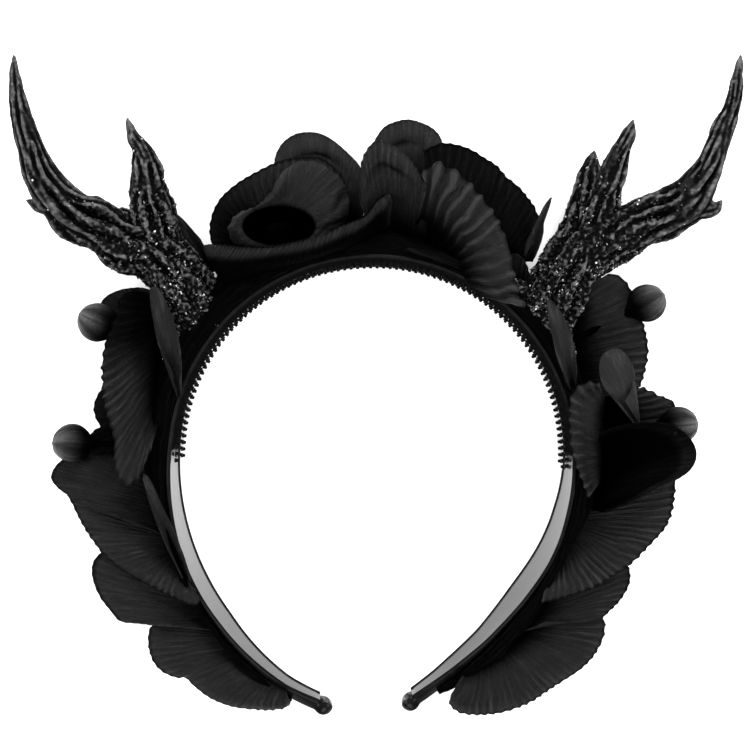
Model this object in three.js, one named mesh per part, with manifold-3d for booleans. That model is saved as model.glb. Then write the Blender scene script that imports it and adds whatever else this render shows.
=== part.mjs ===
// Horns headband: a moulded comb band that carries two antlers, fabric petals, leaves and buds.
// Millimetres. The band lies on its back, with its flat rear edge in the plane z = 0.
// +X runs to the right arm, +Y from the ring's middle to the crown, +Z from the rear edge to the front.
// The origin is the middle of the flat rear edge at the crown.
import * as THREE from "three";
import { mergeGeometries, mergeVertices } from "three/addons/utils/BufferGeometryUtils.js";
import Module from "manifold-3d";

const wasm = await Module();
wasm.setup();

// Band
const BAND_RADIUS = 70; // inside the round part
const BAND_WIDTH = 22; // rear edge to front edge at the crown
const BAND_EDGE = 1.4; // wall at both edges
const BAND_WALL = 2.6; // wall at mid width, at the crown
const TIP_WIDTH = 8;
const TIP_WALL = 5; // wall at mid width, at the tips
const TAPER_START = 0.6; // share of an arm's length where the width starts to fall
const LEFT_ARM = { hand: -1, round: 80, radius: 93, length: 122 }; // round part in degrees
const RIGHT_ARM = { hand: 1, round: 125, radius: 220, length: 64 };
const BAND_STATIONS = 48;
const CROWNED_FROM = 0.3; // share of the width where the crowned outside is at its full wall
const TIP_BALL = 7.2; // diameter
const BALL_SIDES = 8;

// Comb teeth on the inside of the band
const TOOTH_PITCH = 2.4;
const TOOTH_LENGTH = 1.9;
const TOOTH_BASE = 1.3; // along the band
const TOOTH_DEPTH = 3; // across the band
const TOOTH_SINK = 0.4; // how deep a tooth is rooted in the wall
const TOOTH_EDGE_GAP = 1; // from a row to the band's edge
const COMB_LEFT = 0.5; // share of the left arm that has teeth
const COMB_RIGHT = 0.52;

// Antlers
const ANTLER_RISE = 96; // seat to beam tip
const ANTLER_RADIUS = 9.5; // trunk
const ANTLER_FLATNESS = 0.85; // depth over width
const FOOT_LENGTH = 44; // along the band
const FOOT_RADIUS = 10;
const FOOT_LIFT = 2; // its middle line over the band
const LEFT_SEAT = -0.283; // share of the arm's length
const RIGHT_SEAT = 0.282;
const BRANCH_SIDES = 9;

// Petals, leaves and buds
const PETAL_LENGTH = 40;
const PETAL_WIDTH = 50;
const PETAL_ROOT = 7; // width where a petal is glued on
const LEAF_LENGTH = 40;
const LEAF_WIDTH = 9;
const LEAF_ROOT = 2;
const LEAF_TAPER = 0.5; // how much narrower than an oval a leaf is at its tip
const FABRIC_WALL = 1; // stiffened cloth
const FOLD_DEPTH = 0.9; // height of a crimped fold at the rim
const BELLY = 0.55; // share of a blade's length where it is widest
const RIM_SWEEP = 155; // degrees of the rim's oval on each side of its tip
const LIP_START = 0.7; // share of a ray where a rolled lip starts
const BUD_DIAMETER = 12.6;
const BUD_SIDES = 9;
const STEM_DIAMETER = 2.4;
const ROOT_SINK = 1; // how far a root is set into its seat before it is cut to it
const GAP = 0.3; // glue line between two pieces
const INWARD = 30; // how far inside the ring a piece is cut away

const degrees = THREE.MathUtils.degToRad;
const point = (x, y, z) => new THREE.Vector3(x, y, z);

// Solids

function toSolid(geometry) {
  const bare = geometry.clone();
  bare.deleteAttribute("normal");
  bare.deleteAttribute("uv");
  const merged = mergeVertices(bare, 1e-4);
  return new wasm.Manifold(
    new wasm.Mesh({
      numProp: 3,
      vertProperties: merged.attributes.position.array,
      triVerts: new Uint32Array(merged.index.array),
    }),
  );
}

function toGeometry(solid) {
  const mesh = solid.getMesh();
  const positions = new Float32Array(mesh.numVert * 3);
  for (let i = 0; i < mesh.numVert; i++) {
    positions.set(mesh.vertProperties.subarray(i * mesh.numProp, i * mesh.numProp + 3), i * 3);
  }
  const geometry = new THREE.BufferGeometry();
  geometry.setAttribute("position", new THREE.BufferAttribute(positions, 3));
  geometry.setIndex(new THREE.BufferAttribute(new Uint32Array(mesh.triVerts), 1));
  geometry.computeVertexNormals();
  return geometry;
}

function geometryOf(points, faces) {
  const geometry = new THREE.BufferGeometry();
  geometry.setFromPoints(points);
  geometry.setIndex(faces);
  return geometry;
}

// Out, tipward and front are a right-handed frame on the left arm and a left-handed one on the
// right arm, so faces made in that frame are turned round there.
function facingOut(geometry, at) {
  if (at > 0) geometry.index.array.reverse();
  return geometry;
}

// A closed skin over rings of equally many points, with a fan over each end.
function loft(rings) {
  const count = rings[0].length;
  const points = rings.flat();
  const faces = [];
  for (let i = 0; i + 1 < rings.length; i++) {
    for (let j = 0; j < count; j++) {
      const a = i * count + j;
      const b = i * count + ((j + 1) % count);
      faces.push(a, b, b + count, a, b + count, a + count);
    }
  }
  const last = (rings.length - 1) * count;
  for (let j = 1; j + 1 < count; j++) {
    faces.push(0, j + 1, j, last, last + j, last + j + 1);
  }
  return geometryOf(points, faces);
}

// A wall of even thickness on both sides of a grid of points.
function shell(grid, wall) {
  const rows = grid.length;
  const columns = grid[0].length;
  const front = [];
  const back = [];
  grid.forEach((row, i) => {
    row.forEach((place, j) => {
      const before = grid[Math.max(i - 1, 0)][j];
      const after = grid[Math.min(i + 1, rows - 1)][j];
      const left = row[Math.max(j - 1, 0)];
      const right = row[Math.min(j + 1, columns - 1)];
      const normal = after.clone().sub(before).cross(right.clone().sub(left)).normalize();
      front.push(place.clone().addScaledVector(normal, wall / 2));
      back.push(place.clone().addScaledVector(normal, -wall / 2));
    });
  });
  const faces = [];
  const under = front.length;
  for (let i = 0; i + 1 < rows; i++) {
    for (let j = 0; j + 1 < columns; j++) {
      const a = i * columns + j;
      const b = a + 1;
      const c = a + columns;
      const d = c + 1;
      faces.push(a, c, d, a, d, b);
      faces.push(under + a, under + d, under + c, under + a, under + b, under + d);
    }
  }
  const rim = [];
  for (let j = 0; j < columns - 1; j++) rim.push(j);
  for (let i = 0; i < rows - 1; i++) rim.push(i * columns + columns - 1);
  for (let j = columns - 1; j > 0; j--) rim.push((rows - 1) * columns + j);
  for (let i = rows - 1; i > 0; i--) rim.push(i * columns);
  rim.forEach((a, k) => {
    const b = rim[(k + 1) % rim.length];
    faces.push(a, b, under + b, a, under + b, under + a);
  });
  return geometryOf(front.concat(back), faces);
}

// Band

// A place on the band: at runs from -1 at the left tip over 0 at the crown to 1 at the right tip.
function station(at) {
  const arm = at < 0 ? LEFT_ARM : RIGHT_ARM;
  const round = degrees(arm.round);
  const roundLength = BAND_RADIUS * round;
  const share = Math.abs(at);
  const distance = share * (roundLength + arm.length);
  let angle = distance / BAND_RADIUS;
  let across = BAND_RADIUS * Math.sin(angle);
  let rise = BAND_RADIUS * Math.cos(angle);
  if (distance > roundLength) {
    angle = round + (distance - roundLength) / arm.radius;
    across = (BAND_RADIUS - arm.radius) * Math.sin(round) + arm.radius * Math.sin(angle);
    rise = (BAND_RADIUS - arm.radius) * Math.cos(round) + arm.radius * Math.cos(angle);
  }
  const fall = THREE.MathUtils.smoothstep(share, TAPER_START, 1);
  return {
    inside: point(arm.hand * across, rise - BAND_RADIUS - BAND_EDGE / 2, 0),
    out: point(arm.hand * Math.sin(angle), Math.cos(angle), 0),
    tipward: point(arm.hand * Math.cos(angle), -Math.sin(angle), 0),
    width: THREE.MathUtils.lerp(BAND_WIDTH, TIP_WIDTH, fall),
    wall: THREE.MathUtils.lerp(BAND_WALL, TIP_WALL, fall),
  };
}

function armLength(arm) {
  return BAND_RADIUS * degrees(arm.round) + arm.length;
}

// The band's wall as a loft: a flat inside, two flat edges and a crowned outside.
// grow thickens it for clearance, and inward extends it into the ring.
function bandWall(grow, inward) {
  const rings = [];
  for (let k = 0; k <= BAND_STATIONS; k++) {
    const at = -1 + (2 * k) / BAND_STATIONS;
    const { inside, out, width, wall } = station(at);
    const section = [
      { away: -inward, height: -grow },
      { away: BAND_EDGE + grow, height: -grow },
      { away: wall + grow, height: CROWNED_FROM * width },
      { away: wall + grow, height: (1 - CROWNED_FROM) * width },
      { away: BAND_EDGE + grow, height: width + grow },
      { away: -inward, height: width + grow },
    ];
    const place = ({ away, height }) => inside.clone().addScaledVector(out, away).setZ(height);
    rings.push(section.map(place));
  }
  return loft(rings);
}

// One comb tooth: a three-sided peg rooted in the wall.
function tooth(at, height) {
  const { inside, out, tipward } = station(at);
  const corner = (away, along, up) =>
    inside
      .clone()
      .addScaledVector(out, away)
      .addScaledVector(tipward, (along * TOOTH_BASE) / 2)
      .setZ(height + (up * TOOTH_DEPTH) / 2);
  const points = [
    corner(TOOTH_SINK, -1, -1),
    corner(TOOTH_SINK, 1, -1),
    corner(TOOTH_SINK, 0, 1),
    corner(-TOOTH_LENGTH, 0, 0),
  ];
  const faces = [0, 1, 2, 0, 3, 1, 1, 3, 2, 2, 3, 0];
  return facingOut(geometryOf(points, faces), at);
}

function comb() {
  const teeth = [];
  const edge = TOOTH_EDGE_GAP + TOOTH_DEPTH / 2;
  const rows = [
    { arm: LEFT_ARM, reach: COMB_LEFT },
    { arm: RIGHT_ARM, reach: COMB_RIGHT },
  ];
  for (const { arm, reach } of rows) {
    const step = TOOTH_PITCH / armLength(arm);
    for (let share = step / 2; share < reach; share += step) {
      const at = arm.hand * share;
      teeth.push(tooth(at, edge));
      teeth.push(tooth(at, station(at).width - edge));
    }
  }
  return mergeGeometries(teeth);
}

function tipBall(at) {
  const { inside, out, width } = station(at);
  const ball = new THREE.SphereGeometry(TIP_BALL / 2, BALL_SIDES, BALL_SIDES / 2);
  const middle = inside.clone().addScaledVector(out, TIP_WALL / 2);
  ball.translate(middle.x, middle.y, width / 2);
  return ball;
}

function bandSolid() {
  let solid = toSolid(bandWall(0, 0)).add(toSolid(comb()));
  for (const at of [-1, 1]) solid = solid.add(toSolid(tipBall(at)));
  return solid;
}

// Antlers

// Rings round a smooth line through the rows, each with its place and radius.
function branch(rows, sides, grow) {
  const line = new THREE.CatmullRomCurve3(rows.map((row) => row.place));
  const steps = rows.length - 1;
  const rings = [];
  for (let k = 0; k <= steps; k++) {
    const middle = line.getPoint(k / steps);
    const tangent = line.getTangent(k / steps);
    const row = (k / steps) * (rows.length - 1);
    const low = Math.min(Math.floor(row), rows.length - 2);
    const radius = THREE.MathUtils.lerp(rows[low].radius, rows[low + 1].radius, row - low) + grow;
    const deep = point(0, 0, 1).addScaledVector(tangent, -tangent.z).normalize();
    const wide = deep.clone().cross(tangent);
    const ring = [];
    for (let j = 0; j < sides; j++) {
      const turn = (2 * Math.PI * j) / sides;
      ring.push(
        middle
          .clone()
          .addScaledVector(wide, radius * Math.cos(turn))
          .addScaledVector(deep, radius * ANTLER_FLATNESS * Math.sin(turn)),
      );
    }
    rings.push(ring);
  }
  return loft(rings);
}

// Branches of the antlers. side, rise and fore are shares of the antler's rise, from its seat;
// thick is a share of the trunk's radius.
const LEFT_BRANCHES = {
  beam: [
    { side: 0.0, rise: 0.0, fore: 0.0, thick: 1.25 },
    { side: 0.105, rise: 0.148, fore: 0.01, thick: 1.1 },
    { side: 0.207, rise: 0.28, fore: 0.02, thick: 1.0 },
    { side: 0.317, rise: 0.327, fore: 0.03, thick: 1.0 },
    { side: 0.404, rise: 0.371, fore: 0.04, thick: 0.88 },
    { side: 0.485, rise: 0.411, fore: 0.06, thick: 0.82 },
    { side: 0.551, rise: 0.466, fore: 0.08, thick: 0.7 },
    { side: 0.613, rise: 0.547, fore: 0.09, thick: 0.6 },
    { side: 0.649, rise: 0.642, fore: 0.09, thick: 0.48 },
    { side: 0.682, rise: 0.751, fore: 0.08, thick: 0.4 },
    { side: 0.706, rise: 0.856, fore: 0.06, thick: 0.29 },
    { side: 0.72, rise: 0.941, fore: 0.04, thick: 0.18 },
    { side: 0.726, rise: 1.0, fore: 0.02, thick: 0.04 },
  ],
  tine: [
    { side: 0.2, rise: 0.3, fore: 0.02, thick: 0.8 },
    { side: 0.229, rise: 0.444, fore: 0.06, thick: 0.75 },
    { side: 0.234, rise: 0.514, fore: 0.09, thick: 0.6 },
    { side: 0.238, rise: 0.583, fore: 0.12, thick: 0.5 },
    { side: 0.251, rise: 0.647, fore: 0.14, thick: 0.34 },
    { side: 0.28, rise: 0.693, fore: 0.15, thick: 0.2 },
    { side: 0.298, rise: 0.755, fore: 0.15, thick: 0.04 },
  ],
  spur: [
    { side: 0.551, rise: 0.452, fore: 0.08, thick: 0.5 },
    { side: 0.598, rise: 0.452, fore: 0.08, thick: 0.36 },
    { side: 0.642, rise: 0.455, fore: 0.07, thick: 0.24 },
    { side: 0.681, rise: 0.473, fore: 0.06, thick: 0.04 },
  ],
};
const RIGHT_BRANCHES = {
  beam: [
    { side: 0.0, rise: 0.0, fore: 0.0, thick: 1.25 },
    { side: 0.091, rise: 0.13, fore: 0.01, thick: 1.1 },
    { side: 0.186, rise: 0.262, fore: 0.02, thick: 1.1 },
    { side: 0.281, rise: 0.327, fore: 0.03, thick: 1.0 },
    { side: 0.343, rise: 0.349, fore: 0.04, thick: 0.95 },
    { side: 0.423, rise: 0.386, fore: 0.05, thick: 0.8 },
    { side: 0.5, rise: 0.422, fore: 0.07, thick: 0.78 },
    { side: 0.58, rise: 0.47, fore: 0.08, thick: 0.75 },
    { side: 0.646, rise: 0.568, fore: 0.09, thick: 0.55 },
    { side: 0.679, rise: 0.638, fore: 0.09, thick: 0.45 },
    { side: 0.712, rise: 0.727, fore: 0.08, thick: 0.37 },
    { side: 0.743, rise: 0.816, fore: 0.07, thick: 0.3 },
    { side: 0.757, rise: 0.897, fore: 0.05, thick: 0.24 },
    { side: 0.768, rise: 0.97, fore: 0.03, thick: 0.14 },
    { side: 0.772, rise: 1.0, fore: 0.02, thick: 0.04 },
  ],
  tine: [
    { side: 0.24, rise: 0.34, fore: 0.03, thick: 0.75 },
    { side: 0.281, rise: 0.503, fore: 0.08, thick: 0.55 },
    { side: 0.299, rise: 0.583, fore: 0.11, thick: 0.46 },
    { side: 0.321, rise: 0.649, fore: 0.13, thick: 0.35 },
    { side: 0.347, rise: 0.707, fore: 0.14, thick: 0.25 },
    { side: 0.361, rise: 0.757, fore: 0.14, thick: 0.04 },
  ],
  back_tine: [
    { side: 0.19, rise: 0.34, fore: 0.01, thick: 0.7 },
    { side: 0.212, rise: 0.473, fore: 0.0, thick: 0.55 },
    { side: 0.234, rise: 0.568, fore: -0.01, thick: 0.42 },
    { side: 0.248, rise: 0.63, fore: -0.02, thick: 0.24 },
    { side: 0.257, rise: 0.672, fore: -0.02, thick: 0.04 },
  ],
  spur: [
    { side: 0.6, rise: 0.45, fore: 0.08, thick: 0.5 },
    { side: 0.661, rise: 0.441, fore: 0.08, thick: 0.36 },
    { side: 0.69, rise: 0.448, fore: 0.07, thick: 0.25 },
    { side: 0.719, rise: 0.473, fore: 0.06, thick: 0.04 },
  ],
};
// The foot lies along the band. along is a share of its length, thick of its radius.
const FOOT = [
  { along: -0.5, thick: 0.25 },
  { along: -0.35, thick: 0.75 },
  { along: -0.15, thick: 1.0 },
  { along: 0.15, thick: 1.0 },
  { along: 0.35, thick: 0.75 },
  { along: 0.5, thick: 0.25 },
];
function antlerSolid(seatAt, branches, grow) {
  const arm = seatAt < 0 ? LEFT_ARM : RIGHT_ARM;
  const seat = station(seatAt);
  const foot = FOOT.map(({ along, thick }) => {
    const { inside, out, wall, width } = station(seatAt + (along * FOOT_LENGTH) / armLength(arm));
    return {
      place: inside.clone().addScaledVector(out, wall + FOOT_LIFT).setZ(width / 2),
      radius: FOOT_RADIUS * thick,
    };
  });
  let solid = toSolid(branch(foot, BRANCH_SIDES, grow));
  for (const rows of Object.values(branches)) {
    const placed = rows.map(({ side, rise, fore, thick }) => ({
      place: seat.inside
        .clone()
        .addScaledVector(seat.out, seat.wall)
        .add(point(arm.hand * side, rise, fore).multiplyScalar(ANTLER_RISE))
        .add(point(0, 0, seat.width / 2)),
      radius: ANTLER_RADIUS * thick,
    }));
    solid = solid.add(toSolid(branch(placed, BRANCH_SIDES, grow)));
  }
  return solid;
}

// Petals and leaves

// Where a root sits on the band, with the way it grows. turn swings it towards the arm's tip,
// lean towards the front, and roll lifts its tipward side.
function rootFrame({ at, up, off = 0, turn, lean, roll = 0 }, length) {
  const { inside, out, tipward, width, wall } = station(at);
  const origin = inside
    .clone()
    .addScaledVector(out, wall - ROOT_SINK + off * length)
    .setZ(up * width);
  const level = out
    .clone()
    .multiplyScalar(Math.cos(degrees(turn)))
    .addScaledVector(tipward, Math.sin(degrees(turn)));
  const side = tipward
    .clone()
    .multiplyScalar(Math.cos(degrees(turn)))
    .addScaledVector(out, -Math.sin(degrees(turn)));
  const front = point(0, 0, 1);
  const axis = level
    .clone()
    .multiplyScalar(Math.cos(degrees(lean)))
    .addScaledVector(front, Math.sin(degrees(lean)));
  const face = front
    .clone()
    .multiplyScalar(Math.cos(degrees(lean)))
    .addScaledVector(level, -Math.sin(degrees(lean)));
  const across = side
    .clone()
    .multiplyScalar(Math.cos(degrees(roll)))
    .addScaledVector(face, Math.sin(degrees(roll)));
  const normal = face
    .clone()
    .multiplyScalar(Math.cos(degrees(roll)))
    .addScaledVector(side, -Math.sin(degrees(roll)));
  return { origin, axis, across, normal };
}

// Bends a flat place round two axes: cup rolls the sides and bend the length towards the face.
function curve(x, y, height, cup, bend) {
  const c = Math.abs(cup) < 1e-3 ? 1e-3 : cup;
  const b = Math.abs(bend) < 1e-3 ? 1e-3 : bend;
  const y1 = (Math.sin(y * c) / c) - height * Math.sin(y * c);
  const z1 = (1 - Math.cos(y * c)) / c + height * Math.cos(y * c);
  const x1 = Math.sin(x * b) / b - z1 * Math.sin(x * b);
  const z2 = (1 - Math.cos(x * b)) / b + z1 * Math.cos(x * b);
  return { x: x1, y: y1, z: z2 };
}

// A petal or leaf as a grid of points: rays run from the root to the rim.
// folds are crimps along the rays, and lip rolls the rim towards the face.
function bladeGrid(blade, size, grow) {
  const { bend = 0, cup = 0, folds = 0, lip = 0 } = blade;
  const length = size.length * (blade.long ?? 1) + grow;
  const half = (size.width * (blade.wide ?? 1)) / 2 + grow;
  const frame = rootFrame(blade, size.length);
  const cupRate = degrees(cup) / half;
  const bendRate = degrees(bend) / length;
  const grid = [];
  for (let i = 0; i <= size.rows; i++) {
    const ray = i / size.rows;
    const row = [];
    for (let j = 0; j <= size.columns; j++) {
      const share = (2 * j) / size.columns - 1;
      const angle = share * degrees(RIM_SWEEP);
      const reach = Math.cos(angle) > 0 ? 1 - BELLY : BELLY;
      const narrow = 1 - size.taper * (0.5 + 0.5 * Math.cos(angle));
      const rimX = length * (BELLY + reach * Math.cos(angle));
      const rimY = half * Math.sin(angle) * narrow;
      const rootY = (size.root / 2 + grow) * share;
      const x = rimX * ray - grow * (1 - ray);
      const y = THREE.MathUtils.lerp(rootY, rimY, ray);
      const crimp = folds ? FOLD_DEPTH * ray * Math.cos(share * folds * Math.PI) : 0;
      const curl = (lip * length * Math.max(0, ray - LIP_START) ** 2) / (1 - LIP_START);
      const bent = curve(x, y, crimp + curl, cupRate, bendRate);
      row.push(
        frame.origin
          .clone()
          .addScaledVector(frame.axis, bent.x)
          .addScaledVector(frame.across, bent.y)
          .addScaledVector(frame.normal, bent.z),
      );
    }
    grid.push(row);
  }
  return grid;
}

function bladeGeometry(blade, size, grow) {
  return shell(bladeGrid(blade, size, grow), FABRIC_WALL + 2 * grow);
}

const PETAL = {
  length: PETAL_LENGTH,
  width: PETAL_WIDTH,
  root: PETAL_ROOT,
  taper: 0,
  rows: 3,
  columns: 10,
};
const LEAF = {
  length: LEAF_LENGTH,
  width: LEAF_WIDTH,
  root: LEAF_ROOT,
  taper: LEAF_TAPER,
  rows: 2,
  columns: 6,
};

// Rows of a table as objects with the column names as keys.
function table(columns, rows) {
  return rows.map((row) => Object.fromEntries(columns.map((column, k) => [column, row[k]])));
}

// Petals, from the front ones to those behind them. at and up place the root on the band, as shares
// of the arm and of the band's width; long and wide are shares of a petal's length and width;
// turn, lean, roll, bend and cup are degrees.
const PETALS = table(
  ["name", "at", "up", "turn", "lean", "roll", "long", "wide", "bend", "cup", "folds", "lip"],
  [
    // Left arm
    ["petal_left_1", -0.4, 0.6, 10, 46, 10, 0.9, 1.36, 10, 0, 5, 0],
    ["petal_left_2", -0.35, 0.25, -22, 6, 10, 0.98, 0.8, 10, 0, 0, 0],
    ["petal_left_3", -0.44, 0.2, 0, 8, 5, 0.75, 0.6, 10, 0, 0, 0],
    ["petal_left_4", -0.56, 0.55, -22, 18, 18, 1.12, 0.62, 10, 45, 0, 0],
    ["petal_left_5", -0.56, 0.5, 18, 30, 15, 0.86, 1.1, -5, 0, 4, 0],
    ["petal_left_6", -0.715, 0.5, -38, 16, 26, 1.06, 0.64, 0, 0, 3, 0],
    ["petal_left_7", -0.815, 0.5, 3, 36, 15, 0.62, 1.12, -10, 0, 5, 0],
    // Flower left of the crown
    ["petal_crown_left_1", -0.105, 0.85, -7, 56, 0, 0.92, 1.28, 25, 0, 5, 0],
    ["petal_crown_left_2", -0.13, 0.7, 10, 30, 0, 0.75, 0.75, 10, 70, 0, 0],
    ["petal_crown_left_3", -0.13, 0.45, -10, 10, 0, 1.04, 1.08, 10, 25, 4, 0],
    ["petal_crown_left_4", -0.1, 0.2, -17, 2, 0, 1.2, 0.75, 8, 0, 0, 0.5],
    // Flower right of the crown
    ["petal_crown_right_1", 0.108, 0.75, 22, 42, 5, 0.92, 1.06, 5, 0, 5, 0],
    ["petal_crown_right_2", 0.058, 0.7, -22, 16, 0, 1.08, 0.65, 5, -40, 0, 0],
    ["petal_crown_right_3", 0.13, 0.4, -3, 8, 0, 1.13, 1.1, 10, 10, 5, 0],
    ["petal_crown_right_4", 0.045, 0.2, -6, 0, 0, 1.25, 0.68, 8, 0, 0, 0.5],
    ["petal_crown_right_5", 0.22, 0.6, -35, 20, 0, 0.6, 0.5, 0, 0, 0, 0],
    // Right arm
    ["petal_right_1", 0.345, 0.35, 16, 28, 8, 0.95, 1.05, 5, 0, 5, 0],
    ["petal_right_2", 0.49, 0.85, 0, 68, 5, 0.6, 0.9, 0, 0, 5, 0],
    ["petal_right_3", 0.55, 0.6, -27, 20, 15, 1.15, 0.78, 10, 40, 0, 0],
    ["petal_right_4", 0.45, 0.35, -10, 10, 8, 0.95, 0.7, 0, 0, 4, 0],
    ["petal_right_5", 0.59, 0.45, 23, 22, 15, 0.86, 1.3, 0, 0, 5, 0],
    ["petal_right_6", 0.735, 0.5, -46, 16, 28, 0.95, 0.7, 0, 0, 3, 0],
    ["petal_right_7", 0.83, 0.5, 12, 25, 15, 0.8, 1.25, 0, 0, 5, 0],
  ],
);

// Leaves, with the same columns. off is how far out from the band the root is, as a share of a length.
const LEAVES = table(
  ["name", "at", "up", "off", "turn", "lean", "long", "wide", "cup"],
  [
    ["leaf_left_1", -0.4, 0.95, 0, -56, 10, 1.15, 0.9, 30],
    ["leaf_left_2", -0.72, 0.9, 0, -86, 14, 1.15, 0.6, 30],
    ["leaf_left_3", -0.24, 0.15, 0, -17, 0, 1.05, 0.9, 20],
    ["leaf_crown", 0.15, 0.97, 0, -96, 20, 0.65, 1.0, 20],
    ["leaf_right_1", 0.235, 0.8, 0, -27, 15, 1.0, 0.9, 30],
    ["leaf_right_2", 0.395, 0.95, 0, -86, 12, 0.95, 1.1, 20],
    ["leaf_right_3", 0.34, 0.8, 0.4, 96, 12, 0.75, 1.4, 20],
  ],
);

// Buds on straight stems. long is the stem's share of a petal's length.
const BUDS = table(
  ["name", "at", "up", "turn", "lean", "long"],
  [
    ["bud_left_1", -0.35, 0.3, 6, 8, 0.84],
    ["bud_left_2", -0.485, 0.3, 2, 8, 0.92],
    ["bud_right_1", 0.33, 0.3, 2, 8, 1.0],
    ["bud_right_2", 0.475, 0.3, 0, 8, 1.02],
  ],
);

// A bud, its cup of sepals and its stem in one turned piece. away and thick are shares of the
// bud's radius, away from its middle.
const BUD_PROFILE = [
  { away: -1.3, thick: 0.2 },
  { away: -0.96, thick: 0.42 },
  { away: -0.75, thick: 0.66 },
  { away: -0.4, thick: 0.92 },
  { away: 0.0, thick: 1.0 },
  { away: 0.45, thick: 0.88 },
  { away: 0.85, thick: 0.5 },
  { away: 1.0, thick: 0 },
];

function budGeometry(bud, grow) {
  const radius = BUD_DIAMETER / 2;
  const reach = PETAL_LENGTH * bud.long;
  const stem = STEM_DIAMETER / 2;
  const profile = [new THREE.Vector2(0, -grow), new THREE.Vector2(stem + grow, -grow)];
  for (const { away, thick } of BUD_PROFILE) {
    profile.push(new THREE.Vector2(thick ? radius * thick + grow : 0, reach + away * (radius + grow)));
  }
  const lathe = new THREE.LatheGeometry(profile, BUD_SIDES);
  const { origin, axis, across, normal } = rootFrame(bud, PETAL_LENGTH);
  lathe.applyMatrix4(new THREE.Matrix4().makeBasis(normal, axis, across));
  lathe.translate(origin.x, origin.y, origin.z);
  return facingOut(lathe, bud.at);
}

// Assembly

const FINISH = {
  plastic: { color: 0x0b0b0c, roughness: 0.2, metalness: 0 },
  resin: { color: 0x121211, roughness: 0.6, metalness: 0.1 },
  fabric: { color: 0x0d0d0e, roughness: 0.85, metalness: 0 },
  bud: { color: 0x1c1b1b, roughness: 0.7, metalness: 0 },
};

const headband = new THREE.Group();

function addPiece(name, finish, solid) {
  const mesh = new THREE.Mesh(toGeometry(solid), new THREE.MeshStandardMaterial(FINISH[finish]));
  mesh.name = name;
  headband.add(mesh);
}

function boxesMeet(a, b) {
  return [0, 1, 2].every((k) => a.min[k] <= b.max[k] && b.min[k] <= a.max[k]);
}

// Cuts a piece back to a glue line from every piece placed before it, and keeps its main body.
function seated(solid, clearances) {
  let cut = solid;
  for (const clearance of clearances) {
    if (boxesMeet(cut.boundingBox(), clearance.boundingBox())) cut = cut.subtract(clearance);
  }
  const bodies = cut.decompose();
  return bodies.reduce((best, body) => (body.volume() > best.volume() ? body : best));
}

const clearances = [toSolid(bandWall(GAP, INWARD))];

addPiece("band", "plastic", bandSolid());

const antlers = [
  { name: "antler_left", at: LEFT_SEAT, branches: LEFT_BRANCHES },
  { name: "antler_right", at: RIGHT_SEAT, branches: RIGHT_BRANCHES },
];
for (const { name, at, branches } of antlers) {
  addPiece(name, "resin", seated(antlerSolid(at, branches, 0), clearances));
  clearances.push(antlerSolid(at, branches, GAP));
}

for (const bud of BUDS) {
  addPiece(bud.name, "bud", seated(toSolid(budGeometry(bud, 0)), clearances));
  clearances.push(toSolid(budGeometry(bud, GAP)));
}

for (const [rows, size] of [[LEAVES, LEAF], [PETALS, PETAL]]) {
  for (const blade of rows) {
    addPiece(blade.name, "fabric", seated(toSolid(bladeGeometry(blade, size, 0)), clearances));
    clearances.push(toSolid(bladeGeometry(blade, size, GAP)));
  }
}

export default headband;
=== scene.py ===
# Horns headband: the looks of a moulded comb band with cast antlers, pleated cloth petals, leaves and buds.
import math

import bmesh
import bpy
import numpy as np
from mathutils import Matrix, Vector, noise


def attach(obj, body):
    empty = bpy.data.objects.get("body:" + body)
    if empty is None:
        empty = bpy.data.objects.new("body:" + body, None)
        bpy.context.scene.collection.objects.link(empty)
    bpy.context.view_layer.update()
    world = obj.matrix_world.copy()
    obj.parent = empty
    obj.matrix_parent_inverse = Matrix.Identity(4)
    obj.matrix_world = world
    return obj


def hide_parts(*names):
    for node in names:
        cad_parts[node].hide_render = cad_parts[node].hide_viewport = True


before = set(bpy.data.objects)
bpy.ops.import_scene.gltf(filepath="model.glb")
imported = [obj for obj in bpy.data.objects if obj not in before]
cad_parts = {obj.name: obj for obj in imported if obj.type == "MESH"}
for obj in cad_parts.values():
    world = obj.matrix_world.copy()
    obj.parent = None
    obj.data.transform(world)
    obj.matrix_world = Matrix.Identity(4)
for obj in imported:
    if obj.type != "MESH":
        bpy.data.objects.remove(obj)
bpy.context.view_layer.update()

MM = 0.001
UP = np.array([0, 0, 1])

# Sizes in millimetres, as in the solids. The band lies on its back with its rear edge at z = 0.
BAND_RADIUS = 70
BAND_WIDTH = 22
BAND_EDGE = 1.4  # wall at both edges
BAND_WALL = 2.6  # wall at the crowned middle
TIP_WIDTH = 8
TIP_WALL = 5
TAPER_START = 0.6  # share of an arm
CROWNED_FROM = 0.3  # share of the width
TIP_BALL = 7.4
BAND_OUTSET = 0.9  # of the inner face beyond the arms' line
BEAD = 0.5  # raised rim along the rear of the inner face
LEFT_ARM = {"hand": -1, "round": 80, "radius": 93, "length": 122}
RIGHT_ARM = {"hand": 1, "round": 125, "radius": 220, "length": 64}

TOOTH_PITCH = 2.4
TOOTH_LENGTH = 1.5
TOOTH_BASE = 1.7
TOOTH_DEPTH = 3
TOOTH_ROWS = (2.5, 11, 19.5)  # heights of the rows
TOOTH_SINK = 0.4
COMB_LEFT = 0.5  # share of the left arm that has teeth
COMB_RIGHT = 0.52

ANTLER_RISE = 96
ANTLER_RADIUS = 9.5
ANTLER_FLATNESS = 0.85  # depth over width
FOOT_LENGTH = 44
FOOT_RADIUS = 10
FOOT_LIFT = 2
LEFT_SEAT = -0.283
RIGHT_SEAT = 0.282

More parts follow.
